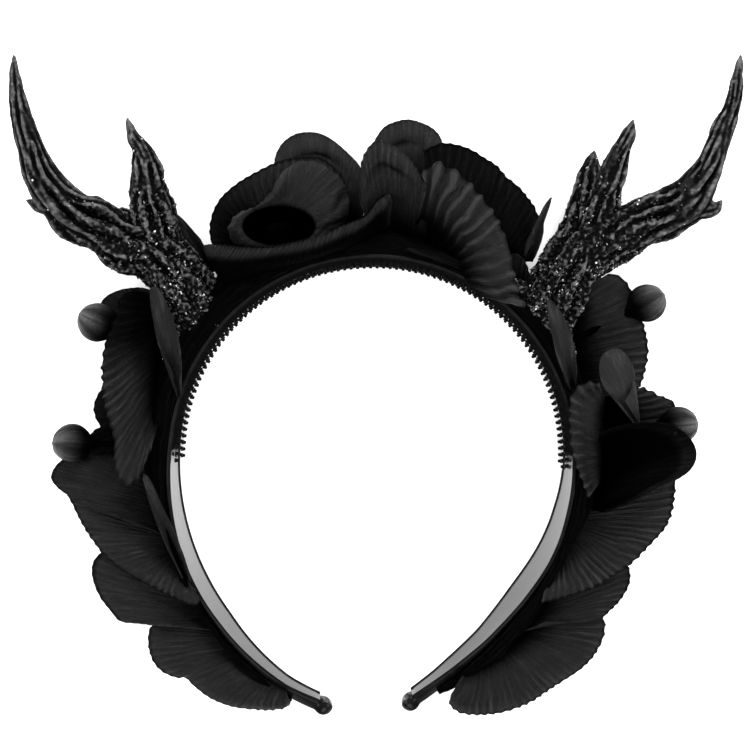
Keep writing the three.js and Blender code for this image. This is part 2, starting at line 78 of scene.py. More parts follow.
CLOTH = 0.55
PLEAT_PITCH = 3.0
PLEAT_DEPTH = 0.6
BUD_DIAMETER = 12.6
BUD_REACH = 40  # from its root to its ball's middle, for a bud that is 1 long
STEM_DIAMETER = 2.4
ROOT_SINK = 1

# The eye of the front view, and how the outlines below are read: in steps of a 750th of that view's
# width from its upper left corner. EYE_SPOT is where the eye's own foot shows.
EYE = (-20, -25.7, 442)
EYE_TARGET = (0, -40.7, 22)
EYE_SPOT = (314, 333)
EYE_STEPS = 1200


# Mesh helpers

def linked(name, data):
    """An object for this data, in the scene."""
    piece = bpy.data.objects.new(name, data)
    bpy.context.scene.collection.objects.link(piece)
    return piece


def new_mesh(name, points, faces, edges=()):
    """An object at the origin from points in millimetres."""
    mesh = bpy.data.meshes.new(name)
    mesh.from_pydata([tuple(p) for p in np.asarray(points, float) * MM], edges, faces)
    mesh.validate()
    mesh.update()
    mesh.shade_smooth()
    return linked(name, mesh)


def read(rows, field, columns, kind=np.float32):
    """One field of a mesh's points, edges or corners, as an array."""
    values = np.empty(len(rows) * columns, kind)
    rows.foreach_get(field, values)
    return values.reshape(-1, columns)


def move_points(piece, places):
    """Moves a piece's points to these places, and none of them below the plane that it lies on."""
    places[:, 2] = np.maximum(places[:, 2], 0)
    piece.data.vertices.foreach_set("co", places.astype(np.float32).ravel())
    piece.data.update()


def float_attribute(piece, name, values):
    attribute = piece.data.attributes.new(name, "FLOAT", "POINT")
    attribute.data.foreach_set("value", np.asarray(values, np.float32).ravel())


def vector_attribute(piece, name, values):
    attribute = piece.data.attributes.new(name, "FLOAT_VECTOR", "POINT")
    attribute.data.foreach_set("vector", np.asarray(values, np.float32).ravel())


def cloth_maps(piece, cut, rays):
    """UV maps in metres from places in millimetres: the flat cut, and across and along the rays."""
    corners = read(piece.data.loops, "vertex_index", 1, np.int32)[:, 0]
    for name, places in (("cut", cut), ("rays", rays)):
        flat = np.stack([np.ravel(axis) for axis in places], -1)[corners] * MM
        piece.data.uv_layers.new(name=name).data.foreach_set("uv", flat.astype(np.float32).ravel())


def tube_faces(rings, sides):
    """Quads over rings of equally many points, with one face over each end."""
    faces = []
    for i in range(rings - 1):
        for j in range(sides):
            a = i * sides + j
            b = i * sides + (j + 1) % sides
            faces.append((a, b, b + sides, a + sides))
    last = (rings - 1) * sides
    faces.append(tuple(reversed(range(sides))))
    faces.append(tuple(last + j for j in range(sides)))
    return faces


def grid_faces(rows, columns):
    faces = []
    for i in range(rows - 1):
        for j in range(columns - 1):
            a = i * columns + j
            faces.append((a, a + 1, a + columns + 1, a + columns))
    return faces


def outward(piece):
    """Turns all faces to point out."""
    work = bmesh.new()
    work.from_mesh(piece.data)
    bmesh.ops.recalc_face_normals(work, faces=work.faces)
    work.to_mesh(piece.data)
    work.free()


def settle(piece):
    """Turns the piece with its modifiers into a plain mesh."""
    graph = bpy.context.evaluated_depsgraph_get()
    shown = piece.evaluated_get(graph)
    mesh = bpy.data.meshes.new_from_object(shown, preserve_all_data_layers=True, depsgraph=graph)
    piece.modifiers.clear()
    piece.data = mesh
    return piece


def sharpened(piece, degrees):
    """Smooth faces, with sharp edges where they turn by more than this."""
    piece.data.shade_smooth()
    piece.data.set_sharp_from_angle(angle=math.radians(degrees))
    return piece


def dress(piece, material, slot, *nodes):
    """Gives a finished piece its material and body, and hides the solids it stands for. The slot is not used.
    """
    if material is not None:
        piece.data.materials.clear()
        piece.data.materials.append(material)
    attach(piece, "root")
    if nodes:
        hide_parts(*nodes)
    return piece


def row_value(rows, place):
    """The value at a place, or at each of many, along a short list of (place, value) rows."""
    return np.interp(place, [row[0] for row in rows], [row[1] for row in rows])


def smoothstep(share):
    return share * share * (3 - 2 * share)


# Node trees

def wire(tree, node, inputs):
    """Gives a node's inputs, by name or number, a value or another node's output."""
    for key, value in inputs.items():
        socket = node.inputs[key]
        if isinstance(value, bpy.types.NodeSocket):
            tree.links.new(value, socket)
        else:
            socket.default_value = value


def add_node(tree, kind, inputs=None, **settings):
    node = tree.nodes.new(kind)
    for key, value in settings.items():
        setattr(node, key, value)
    wire(tree, node, inputs or {})
    return node


def geometry_tree(name, inputs):
    """An empty tree with named inputs, as (name, kind, value). Gives the tree and its input sockets."""
    tree = bpy.data.node_groups.new(name, "GeometryNodeTree")
    tree.interface.new_socket("Geometry", in_out="INPUT", socket_type="NodeSocketGeometry")
    for label, kind, value in inputs:
        socket = tree.interface.new_socket(label, in_out="INPUT", socket_type="NodeSocket" + kind)
        if value is not None:
            socket.default_value = value
    tree.interface.new_socket("Geometry", in_out="OUTPUT", socket_type="NodeSocketGeometry")
    return tree, tree.nodes.new("NodeGroupInput").outputs


def close_tree(tree, geometry, material):
    """Ends a tree in Realize Instances and Set Material."""
    real = add_node(tree, "GeometryNodeRealizeInstances", {"Geometry": geometry})
    dyed = add_node(tree, "GeometryNodeSetMaterial", {"Geometry": real.outputs[0], "Material": material})
    add_node(tree, "NodeGroupOutput", {0: dyed.outputs[0]})
    return tree


def run_tree(piece, tree, values):
    """Runs a tree on a piece with these input values and keeps the result as a plain mesh."""
    modifier = piece.modifiers.new(tree.name, "NODES")
    modifier.node_group = tree
    for item in tree.interface.items_tree:
        if item.item_type == "SOCKET" and item.in_out == "INPUT" and item.name in values:
            modifier[item.identifier] = values[item.name]
    return settle(piece)


def calc(tree, operation, *values):
    """A math node's result."""
    return add_node(tree, "ShaderNodeMath", dict(enumerate(values)), operation=operation).outputs[0]


def times(tree, a, b):
    return calc(tree, "MULTIPLY", a, b)


def named(tree, name, kind="FLOAT"):
    return add_node(tree, "GeometryNodeInputNamedAttribute", {"Name": name}, data_type=kind).outputs[0]


def marked(tree, geometry, name, value, domain):
    """The geometry with this value stored on it by name."""
    return add_node(tree, "GeometryNodeStoreNamedAttribute", {
        "Geometry": geometry, "Name": name, "Value": value,
    }, data_type="FLOAT", domain=domain).outputs[0]


# Materials

def material(name):
    """A new node material. Gives it with its tree and its shader."""
    made = bpy.data.materials.new(name)
    made.use_nodes = True
    return made, made.node_tree, made.node_tree.nodes["Principled BSDF"]


def object_noise(tree, scale, detail, roughness):
    place = add_node(tree, "ShaderNodeTexCoord").outputs["Object"]
    return add_node(tree, "ShaderNodeTexNoise", {
        "Vector": place, "Scale": scale, "Detail": detail, "Roughness": roughness,
    }).outputs[0]


def ramp(tree, value, stops):
    """A colour ramp with (place, grey) stops."""
    node = add_node(tree, "ShaderNodeValToRGB", {"Fac": value})
    marks = node.color_ramp.elements
    while len(marks) < len(stops):
        marks.new(0.5)
    for mark, (place, grey) in zip(marks, stops):
        mark.position = place
        mark.color = (grey, grey, grey, 1)
    return node.outputs[0]


def bump(tree, height, strength, distance, under=None):
    inputs = {"Height": height, "Strength": strength, "Distance": distance}
    if under is not None:
        inputs["Normal"] = under
    return add_node(tree, "ShaderNodeBump", inputs).outputs[0]


def attribute(tree, name):
    return add_node(tree, "ShaderNodeAttribute", attribute_name=name).outputs["Fac"]


def mixed(tree, share, a, b, blend="MIX"):
    """Two colours mixed, each a node's output or red, green, blue and alpha."""
    node = add_node(tree, "ShaderNodeMix", {0: share, 6: a, 7: b}, data_type="RGBA", blend_type=blend)
    return node.outputs[2]


def glossy_plastic():
    """The band: polished on its inner face beyond the comb, with the shine painted out as shade on the comb's
    face, and nearly black elsewhere.
    """
    made, tree, shader = material("glossy_black_plastic")
    face_shine = 0.36
    dust = object_noise(tree, 260, 6, 0.7)
    flow = object_noise(tree, 90, 3, 0.5)
    wire(tree, shader, {
        "Base Color": ramp(tree, dust, [(0.35, 0.002), (0.62, 0.004), (0.8, 0.01)]),
        "Roughness": ramp(tree, flow, [(0.3, 0.1), (0.7, 0.2)]),
        "Normal": bump(tree, flow, 0.12, 0.0004, bump(tree, dust, 0.05, 0.0001)),
        "Specular IOR Level": times(tree, attribute(tree, "shine_share"), face_shine),
        "IOR": 1.75,
    })
    return made


def dull_plastic():
    made, tree, shader = material("dull_black_plastic")
    dust = object_noise(tree, 500, 5, 0.6)
    wire(tree, shader, {
        "Base Color": ramp(tree, dust, [(0.35, 0.001), (0.7, 0.003)]),
        "Roughness": ramp(tree, dust, [(0.3, 0.4), (0.7, 0.6)]),
        "Normal": bump(tree, dust, 0.1, 0.0001),
        "Specular IOR Level": 0.01,
    })
    return made


def cast_resin():
    """Black resin with ridges dry-brushed grey and speckles where the glitter lies."""
    made, tree, shader = material("cast_black_resin")
    speck_colour = (0.025, 0.025, 0.026, 1)
    streak = object_noise(tree, 520, 5, 0.65)
    speckle = object_noise(tree, 1500, 3, 0.7)
    pits = object_noise(tree, 1300, 4, 0.6)
    brushed = times(tree, attribute(tree, "ridge"), ramp(tree, streak, [(0.32, 0.5), (0.66, 0.95)]))
    sown = times(tree, attribute(tree, "grit"), ramp(tree, speckle, [(0.52, 0.0), (0.6, 0.2), (0.72, 1.0)]))
    colour = ramp(tree, brushed, [(0.0, 0.0002), (0.28, 0.001), (0.48, 0.007), (0.72, 0.033), (1.0, 0.09)])
    wire(tree, shader, {
        "Base Color": mixed(tree, sown, colour, speck_colour),
        "Roughness": ramp(tree, pits, [(0.3, 0.36), (0.7, 0.6)]),
        "Normal": bump(tree, pits, 0.5, 0.0003, bump(tree, streak, 0.4, 0.0005)),
        "Specular IOR Level": 0.01,
    })
    return made


def glitter_grain():
    """Most grains are dark and few are bright, by their shine attribute."""
    made, tree, shader = material("glitter_grain")
    speck = object_noise(tree, 2500, 2, 0.5)
    shades = [(0.0, 0.001), (0.35, 0.004), (0.6, 0.02), (0.85, 0.1), (1.0, 0.55)]
    wire(tree, shader, {
        "Base Color": ramp(tree, attribute(tree, "shine"), shades),
        "Roughness": ramp(tree, speck, [(0.3, 0.16), (0.7, 0.35)]),
        "Normal": bump(tree, speck, 0.2, 0.0001),
        "Metallic": 0.35,
    })
    return made


def stiffened_cloth(name, dark, light, sheen, gloss):
    """Crepe cloth with stiffener: thread and crepe bump, crests painted paler and hollows darker as painted
    light and shade, and black where its painted shading is 0.
    """
    made, tree, shader = material(name)
    place = add_node(tree, "ShaderNodeUVMap", uv_map="cut").outputs[0]
    threads = [
        add_node(tree, "ShaderNodeTexWave", {
            "Vector": place, "Scale": 620, "Distortion": 1.2, "Detail": 1, "Detail Scale": 2,
        }, wave_type="BANDS", bands_direction=direction).outputs["Fac"]
        for direction in ("X", "Y")
    ]
    weave = calc(tree, "MAXIMUM", *threads)
    rays = add_node(tree, "ShaderNodeUVMap", uv_map="rays").outputs[0]
    drawn = add_node(tree, "ShaderNodeMapping", {"Vector": rays, "Scale": (1, 0.09, 1)}).outputs[0]
    fine, broad = (
        add_node(tree, "ShaderNodeTexNoise", {
            "Vector": drawn, "Scale": scale, "Detail": 3, "Roughness": 0.6, "Distortion": 0.4,
        }).outputs[0]
        for scale in (1150, 380)
    )
    cloud = object_noise(tree, 70, 5, 0.6)
    crepe = object_noise(tree, 900, 3, 0.6)
    painted_shading = attribute(tree, "painted_shading")
    # Pleat crests are painted paler and their hollows darker, as painted light and shade.
    level = calc(tree, "MULTIPLY_ADD", attribute(tree, "crest_light"), 0.5, 0.42)
    for pattern, share in ((fine, 1.3), (broad, 1.0), (cloud, 0.6), (crepe, 0.7)):
        level = calc(tree, "ADD", level, times(tree, calc(tree, "SUBTRACT", pattern, 0.5), share))
    base = ramp(tree, level, [(0.12, dark), (0.45, 0.4 * light), (0.72, light), (0.98, 2.2 * light)])
    woven = mixed(tree, 0.25, base, ramp(tree, weave, [(0.2, dark * 0.6), (0.8, light)]))
    # The painted light and shade of each piece darkens its colour, gloss and sheen.
    shade = ramp(tree, painted_shading, [(0.0, 0.0), (1.0, 1.0)])
    wrinkled = bump(tree, broad, 0.7, 0.0012, bump(tree, fine, 0.7, 0.0006))
    wire(tree, shader, {
        "Base Color": mixed(tree, 1.0, woven, shade, "MULTIPLY"),
        "Roughness": ramp(tree, cloud, [(0.3, 0.48), (0.7, 0.6)]),
        "Specular IOR Level": times(tree, painted_shading, gloss),
        "Sheen Weight": times(tree, painted_shading, sheen),
        "Sheen Roughness": 0.4,
        "Normal": bump(tree, weave, 0.2, 0.00012, bump(tree, crepe, 0.5, 0.0004, wrinkled)),
    })
    return made


PLASTIC = glossy_plastic()
TOOTH_PLASTIC = dull_plastic()
RESIN = cast_resin()
GRAIN = glitter_grain()
PETAL_CLOTH = stiffened_cloth("pleated_petal_cloth", 0.0003, 0.0055, 0.007, 0.05)
LEAF_CLOTH = stiffened_cloth("leaf_cloth", 0.003, 0.012, 0.015, 0.1)
BUD_CLOTH = stiffened_cloth("bud_cloth", 0.003, 0.02, 0.03, 0.1)


# Places on the band

def arm_at(at):
    return LEFT_ARM if at < 0 else RIGHT_ARM


def arm_length(arm):
    return BAND_RADIUS * math.radians(arm["round"]) + arm["length"]


def station(at):
    """A place on the band, from -1 at the left tip over 0 at the crown to 1 at the right tip."""
    arm = arm_at(at)
    turned = math.radians(arm["round"])
    share = abs(at)
    distance = share * arm_length(arm)
    angle = distance / BAND_RADIUS
    across = BAND_RADIUS * math.sin(angle)
    rise = BAND_RADIUS * math.cos(angle)
    if angle > turned:
        angle = turned + (distance - BAND_RADIUS * turned) / arm["radius"]
        across = (BAND_RADIUS - arm["radius"]) * math.sin(turned) + arm["radius"] * math.sin(angle)
        rise = (BAND_RADIUS - arm["radius"]) * math.cos(turned) + arm["radius"] * math.cos(angle)
    fall = smoothstep(min(max((share - TAPER_START) / (1 - TAPER_START), 0), 1))
    hand = arm["hand"]
    return {
        "inside": np.array([hand * across, rise - BAND_RADIUS - BAND_EDGE / 2, 0]),
        "out": np.array([hand * math.sin(angle), math.cos(angle), 0]),
        "tipward": np.array([hand * math.cos(angle), -math.sin(angle), 0]),
        "width": BAND_WIDTH + (TIP_WIDTH - BAND_WIDTH) * fall,
        "wall": BAND_WALL + (TIP_WALL - BAND_WALL) * fall,
    }


def over_band(place, lift, up=0.5):
    """A point over the band's outside at a station, up by this share of the band's width."""
    return place["inside"] + place["out"] * (place["wall"] + lift) + UP * (up * place["width"])


def outside_of_band(points):
    """How far each point lies outside the band's inner face, and the way out there."""
    x = points[:, 0]
    y = points[:, 1] + BAND_RADIUS + BAND_EDGE / 2
    away = np.hypot(x, y) - BAND_RADIUS
    out = np.stack([x, y, 0 * x], -1) / np.maximum(np.hypot(x, y), 1e-6)[:, None]
    for arm in (LEFT_ARM, RIGHT_ARM):
        turned = math.radians(arm["round"])
        side = arm["hand"] * x
        beyond = (side > 0) & (np.arctan2(side, y) > turned)
        middle_x = arm["hand"] * (BAND_RADIUS - arm["radius"]) * math.sin(turned)
        middle_y = (BAND_RADIUS - arm["radius"]) * math.cos(turned)
        reach = np.hypot(x - middle_x, y - middle_y)
        away = np.where(beyond, reach - arm["radius"], away)
        way = np.stack([x - middle_x, y - middle_y, 0 * x], -1) / np.maximum(reach, 1e-6)[:, None]
        out = np.where(beyond[:, None], way, out)
    return away, out


def kept_off_band(points, place, clearance):
    """Pushes points that would lie in the band at this station out to its crowned outside."""
    width = place["width"]
    over_edge = 1.6  # how fast the outside falls back beyond the band's edges
    flat = points.reshape(-1, 3)
    away, out = outside_of_band(flat)
    height = flat[:, 2]
    middle = np.clip(np.minimum(height, width - height) / (CROWNED_FROM * width), 0, 1)
    limit = BAND_OUTSET + BAND_EDGE + (place["wall"] - BAND_EDGE) * middle + clearance
    limit = limit - over_edge * np.maximum(np.maximum(height - width, -height), 0)
    push = np.maximum(limit - away, 0)
    return (flat + out * push[:, None]).reshape(points.shape)


# Band

# Degrees that the band's wall turns, as (share of the arm, turn). A positive turn shows more of the inside.
LEFT_TWIST = [(0.0, 0), (0.45, 0), (0.62, 3), (0.8, 7), (0.93, 5), (1.0, 0)]
RIGHT_TWIST = [(0.0, 0), (0.3, -4), (0.52, -4), (0.62, 0), (0.76, 7), (0.92, 7), (1.0, 0)]
# Millimetres that each lower arm bows out beyond its arc, as (share of the arm, bow).
LEFT_BOW = [(0.0, 0), (0.78, 0), (0.93, 1.6), (1.02, 0.6)]
RIGHT_BOW = [(0.0, 0), (0.6, 0), (0.72, 1.2), (0.85, 2.2), (0.95, 1.4), (1.02, 0.4)]
# Where the two arms end in the middle of their balls.
TIP_ENDS = (-1.0, 1.012)
# Shine of the band's outside and balls. Its inner face beyond the comb has 1; on the comb's face the shine is
# painted out, as shade between the teeth.
COVERED_SHINE = 0.03
BALL_SHINE = 0.05
ON_FACE = 0.05  # points of the section this near to the inner face lie on it


def on_band(at, away, height):
    """A point of the band's section: away from its inner face and up from its rear edge."""
    place = station(at)
    turn = math.radians(row_value(LEFT_TWIST if at < 0 else RIGHT_TWIST, abs(at)))
    bow = row_value(LEFT_BOW if at < 0 else RIGHT_BOW, abs(at))
    middle = place["width"] / 2
    out = BAND_OUTSET + bow + away * math.cos(turn) + (height - middle) * math.sin(turn)
    up = middle + (height - middle) * math.cos(turn) - away * math.sin(turn)
    return place["inside"] + place["out"] * out + np.array([0, 0, max(up, 0)])


def rounded(section, reach):
    """A section whose corners are turned into short curves, reach long on each side."""
    points = []
    count = len(section)
    for k in range(count):
        corner = np.array(section[k])
        before = np.array(section[k - 1]) - corner
        after = np.array(section[(k + 1) % count]) - corner
        start, end = (
            corner + side / np.linalg.norm(side) * min(reach, np.linalg.norm(side) * 0.45)
            for side in (before, after)
        )
        for t in (0, 0.33, 0.67, 1):
            points.append((1 - t) ** 2 * start + 2 * t * (1 - t) * corner + t * t * end)
    return points


def band_section(place):
    """The crowned section, with a bead along the rear edge of its inner face."""
    width = place["width"]
    wall = place["wall"]
    return rounded([
        (-BEAD, 0),
        (BAND_EDGE, 0),
        (wall, CROWNED_FROM * width),
        (wall, (1 - CROWNED_FROM) * width),
        (BAND_EDGE, width),
        (0, width),
        (0, 1.6 * BEAD),
        (-BEAD, 1.4 * BEAD),
    ], 0.5)


def tip_rings(at):
    """Rings that round an arm's end off into its ball."""
    place = station(at)
    middle = np.array([TIP_WALL / 2, place["width"] / 2])
    angles = [math.atan2(h - middle[1], a - middle[0]) for a, h in band_section(place)]
    centre = on_band(at, *middle)
    radius = TIP_BALL / 2
    neck = 125  # degrees from the ball's pole to the ring where it meets the arm
    steps = 8
    rings = []
    for step in range(steps + 1):
        lean = math.radians(neck - neck * step / steps * 0.985)
        ring_middle = centre + place["tipward"] * radius * math.cos(lean)
        size = radius * math.sin(lean)
        rings.append([ring_middle + size * (math.cos(a) * place["out"] + math.sin(a) * UP) for a in angles])
    return rings


def make_band():
    """The moulded wall and its two balls, with full shine on the inner face beyond the comb and the shine
    painted out as shade on the comb's face.
    """
    rings = []
    shine_share = []
    stations = 261
    ball_share = 0.012  # of an arm, that its ball takes up
    fade = 0.02  # of an arm, over which the face turns bare where the comb ends
    left, right = TIP_ENDS
    for at in np.linspace(left + ball_share, right - ball_share, stations):
        section = band_section(station(at))
        rings.append([on_band(at, away, height) for away, height in section])
        # On the comb's face the shine is painted out, as shade between the teeth.
        clear = min(max((max(-at - COMB_LEFT, at - COMB_RIGHT) + fade / 2) / fade, 0), 1)
        shine_share.append([clear if abs(away) < ON_FACE else COVERED_SHINE * (away > 0.3) for away, _ in section])
    sides = len(rings[0])
    start = tip_rings(left)[::-1]
    end = tip_rings(right)
    ball = [[BALL_SHINE] * sides] * len(start)
    rings = start + rings + end
    band = new_mesh("moulded_band", np.array(rings).reshape(-1, 3), tube_faces(len(rings), sides))
    outward(band)
    float_attribute(band, "shine_share", ball + shine_share + ball)
    return dress(sharpened(band, 50), PLASTIC, "plastic", "band")


def tooth_tree():
    """Comb teeth along a line: tapered round pegs that point along the line's inward attribute."""
    tree, given = geometry_tree("comb_teeth", [
        ("Pitch", "Float", TOOTH_PITCH * MM),
        ("Length", "Float", TOOTH_LENGTH * MM),
        ("Base", "Float", TOOTH_BASE * MM),
        ("Depth", "Float", TOOTH_DEPTH * MM),
        ("Material", "Material", None),
    ])
    line = add_node(tree, "GeometryNodeMeshToCurve", {"Mesh": given["Geometry"]}).outputs[0]
    spaced = add_node(tree, "GeometryNodeResampleCurve", {
        "Curve": line, "Length": given["Pitch"],
    }, mode="LENGTH")
    peg = add_node(tree, "GeometryNodeMeshCone", {
        "Vertices": 10, "Side Segments": 3, "Radius Top": 0.3, "Radius Bottom": 0.5, "Depth": 1.0,
    })
    sized = add_node(tree, "ShaderNodeCombineXYZ", {0: given["Base"], 1: given["Depth"], 2: given["Length"]})
    shaped = add_node(tree, "GeometryNodeTransform", {"Geometry": peg.outputs[0], "Scale": sized.outputs[0]})
    aimed = add_node(tree, "FunctionNodeAlignRotationToVector", {
        "Vector": named(tree, "inward", "FLOAT_VECTOR"),
    }, axis="Z")
    upright = add_node(tree, "FunctionNodeAlignRotationToVector", {
        "Rotation": aimed.outputs[0], "Vector": (0, 0, 1),
    }, axis="Y", pivot_axis="Z")
    placed = add_node(tree, "GeometryNodeInstanceOnPoints", {
        "Points": spaced.outputs[0], "Instance": shaped.outputs[0], "Rotation": upright.outputs[0],
    })
    return close_tree(tree, placed.outputs[0], given["Material"])


def make_comb():
    """Rows of teeth on the band's inner face. Every second row is shifted by half a pitch."""
    points = []
    inward = []
    edges = []
    steps = 240
    for number, height in enumerate(TOOTH_ROWS):
        first = len(points)
        shift = 0.5 * TOOTH_PITCH / arm_length(RIGHT_ARM) * (number % 2)
        for k in range(steps + 1):
            at = -COMB_LEFT + (COMB_LEFT + COMB_RIGHT) * k / steps + shift
            points.append(on_band(at, TOOTH_SINK - TOOTH_LENGTH, height))
            inward.append(-station(at)["out"])
        edges += [(first + k, first + k + 1) for k in range(steps)]
    comb = new_mesh("comb_teeth", points, [], edges)
    vector_attribute(comb, "inward", inward)
    run_tree(comb, tooth_tree(), {"Material": TOOTH_PLASTIC})
    return dress(sharpened(comb, 35), None, "plastic")


# Antlers

# Rows of a branch: sideways, up and forward over the antler's rise, and thickness over the trunk's radius.
LEFT_BRANCHES = {
    "beam": [
        (0.0, 0.0, 0.0, 1.25), (0.105, 0.148, 0.01, 1.1), (0.207, 0.28, 0.02, 1.0),
        (0.317, 0.327, 0.03, 1.0), (0.404, 0.371, 0.04, 0.88), (0.485, 0.411, 0.06, 0.82),
        (0.551, 0.466, 0.08, 0.7), (0.613, 0.547, 0.09, 0.6), (0.649, 0.642, 0.09, 0.48),
        (0.682, 0.751, 0.08, 0.4), (0.706, 0.856, 0.06, 0.29), (0.72, 0.941, 0.04, 0.18),
        (0.726, 1.0, 0.02, 0.04),
    ],
    "tine": [
        (0.2, 0.3, 0.02, 0.8), (0.229, 0.444, 0.06, 0.75), (0.234, 0.514, 0.09, 0.6),
        (0.238, 0.583, 0.12, 0.5), (0.251, 0.647, 0.14, 0.34), (0.28, 0.693, 0.15, 0.2),
        (0.298, 0.755, 0.15, 0.04),
    ],
    "spur": [
        (0.551, 0.452, 0.08, 0.5), (0.598, 0.452, 0.08, 0.36), (0.642, 0.455, 0.07, 0.24),
        (0.681, 0.473, 0.06, 0.04),
    ],
}
RIGHT_BRANCHES = {
    "beam": [
        (0.0, 0.0, 0.0, 1.25), (0.091, 0.13, 0.01, 1.1), (0.186, 0.262, 0.02, 1.1),
        (0.281, 0.327, 0.03, 1.0), (0.343, 0.349, 0.04, 0.95), (0.423, 0.386, 0.05, 0.8),
        (0.5, 0.422, 0.07, 0.78), (0.58, 0.47, 0.08, 0.75), (0.646, 0.568, 0.09, 0.55),
        (0.679, 0.638, 0.09, 0.45), (0.712, 0.727, 0.08, 0.37), (0.75, 0.82, 0.07, 0.3),
        (0.772, 0.905, 0.05, 0.24), (0.79, 0.985, 0.03, 0.14), (0.798, 1.025, 0.02, 0.04),
    ],
    "tine": [
        (0.24, 0.34, 0.03, 0.75), (0.281, 0.503, 0.08, 0.55), (0.299, 0.583, 0.11, 0.46),
        (0.321, 0.649, 0.13, 0.35), (0.347, 0.707, 0.14, 0.25), (0.361, 0.757, 0.14, 0.04),
    ],
    "back_tine": [
        (0.19, 0.34, 0.01, 0.7), (0.212, 0.473, 0.0, 0.55), (0.234, 0.568, -0.01, 0.42),
        (0.248, 0.63, -0.02, 0.24), (0.257, 0.672, -0.02, 0.04),
    ],
    "spur": [
        (0.6, 0.45, 0.08, 0.5), (0.661, 0.441, 0.08, 0.36), (0.69, 0.448, 0.07, 0.25),
        (0.719, 0.473, 0.06, 0.04),
    ],
}
# The foot lies along the band: share of its length, and thickness.
FOOT = [(-0.5, 0.25), (-0.35, 0.75), (-0.15, 1.0), (0.15, 1.0), (0.35, 0.75), (0.5, 0.25)]
# Depth of the creases over the radius, on the foot and on the branches.
FOOT_GROOVE = 0.2
BRANCH_GROOVE = 0.5


def smooth_line(rows, steps):
    """Points on a Catmull-Rom curve through the rows, each with as many columns as a row."""
    rows = np.array(rows, float)
    padded = np.vstack([2 * rows[0] - rows[1], rows, 2 * rows[-1] - rows[-2]])
    points = []
    for k in range(steps + 1):
        t = k / steps * (len(rows) - 1)
        i = min(int(t), len(rows) - 2)
        t -= i
        a, b, c, d = padded[i:i + 4]
        square = (2 * a - 5 * b + 4 * c - d) * t ** 2
        points.append(0.5 * (2 * b + (c - a) * t + square + (3 * b - a - 3 * c + d) * t ** 3))
    return np.array(points)


def branch(rows, seed, groove):
    """A branch through rows of (x, y, z, radius), with creases as deep as groove times the radius."""
    steps = 16 * len(rows)
    sides = 64
    creases = 15
    crease_width = 0.12  # radians
    shoulder_at = 0.3
    shoulder_width = 0.16
    thinnest = 0.45
    line = smooth_line(rows, steps)
    turns = np.arange(sides) * 2 * math.pi / sides
    rings = []
    for k in range(steps + 1):
        before = line[max(k - 1, 0), :3]
        after = line[min(k + 1, steps), :3]
        along = (after - before) / np.linalg.norm(after - before)
        deep = UP - along * along[2]
        deep /= np.linalg.norm(deep)
        wide = np.cross(deep, along)
        size = np.ones(sides)
        for c in range(creases):
            # Each crease wanders round the branch and deepens or fades, by slow noise along it.
            drift = 0.5 * noise.noise(Vector((k * 0.03, seed + 9.1 * c, 3.7)))
            there = 2 * math.pi * (c + 0.35 * math.sin(7.3 * c + seed)) / creases + drift
            depth = groove * max(0.25 + 1.6 * noise.noise(Vector((k * 0.045, 5.5, seed + 4.3 * c))), 0)
            gap = np.abs((turns - there + math.pi) % (2 * math.pi) - math.pi)
            size -= depth * np.exp(-(gap / crease_width) ** 2)
            size += 0.35 * depth * np.exp(-((gap - shoulder_at) / shoulder_width) ** 2)
        size *= max(line[k, 3], thinnest)
        rings.append(
            line[k, :3]
            + wide * (size * np.cos(turns))[:, None]
            + deep * (size * ANTLER_FLATNESS * np.sin(turns))[:, None]
        )
    return np.array(rings).reshape(-1, 3), tube_faces(len(rings), sides)


def antler_parts(seat_at, branches):
    """The foot and branches of an antler as rows of (x, y, z, radius)."""
    arm = arm_at(seat_at)
    root = over_band(station(seat_at), 0)
    parts = [[
        (*over_band(station(seat_at + along * FOOT_LENGTH / arm_length(arm)), FOOT_LIFT), FOOT_RADIUS * thick)
        for along, thick in FOOT
    ]]
    for rows in branches.values():
        parts.append([
            (*(root + ANTLER_RISE * np.array([arm["hand"] * side, rise, fore])), ANTLER_RADIUS * thick)
            for side, rise, fore, thick in rows
        ])
    return parts


def curvature(mesh):
    """How far each point stands over its neighbours, in units of the spread of that measure."""
    points = read(mesh.vertices, "co", 3)
    normals = read(mesh.vertices, "normal", 3)
    a, b = read(mesh.edges, "vertices", 2, np.int32).T
    height = np.zeros(len(points))
    uses = np.zeros(len(points))
    for one, other in ((a, b), (b, a)):
        np.add.at(height, one, ((points[one] - points[other]) * normals[one]).sum(1))
        np.add.at(uses, one, 1)
    height /= np.maximum(uses, 1)
    for _ in range(3):
        spread = np.zeros(len(points))
        np.add.at(spread, a, height[b])
        np.add.at(spread, b, height[a])
        height = 0.5 * height + 0.5 * spread / np.maximum(uses, 1)
    return height / max(height.std(), 1e-12)


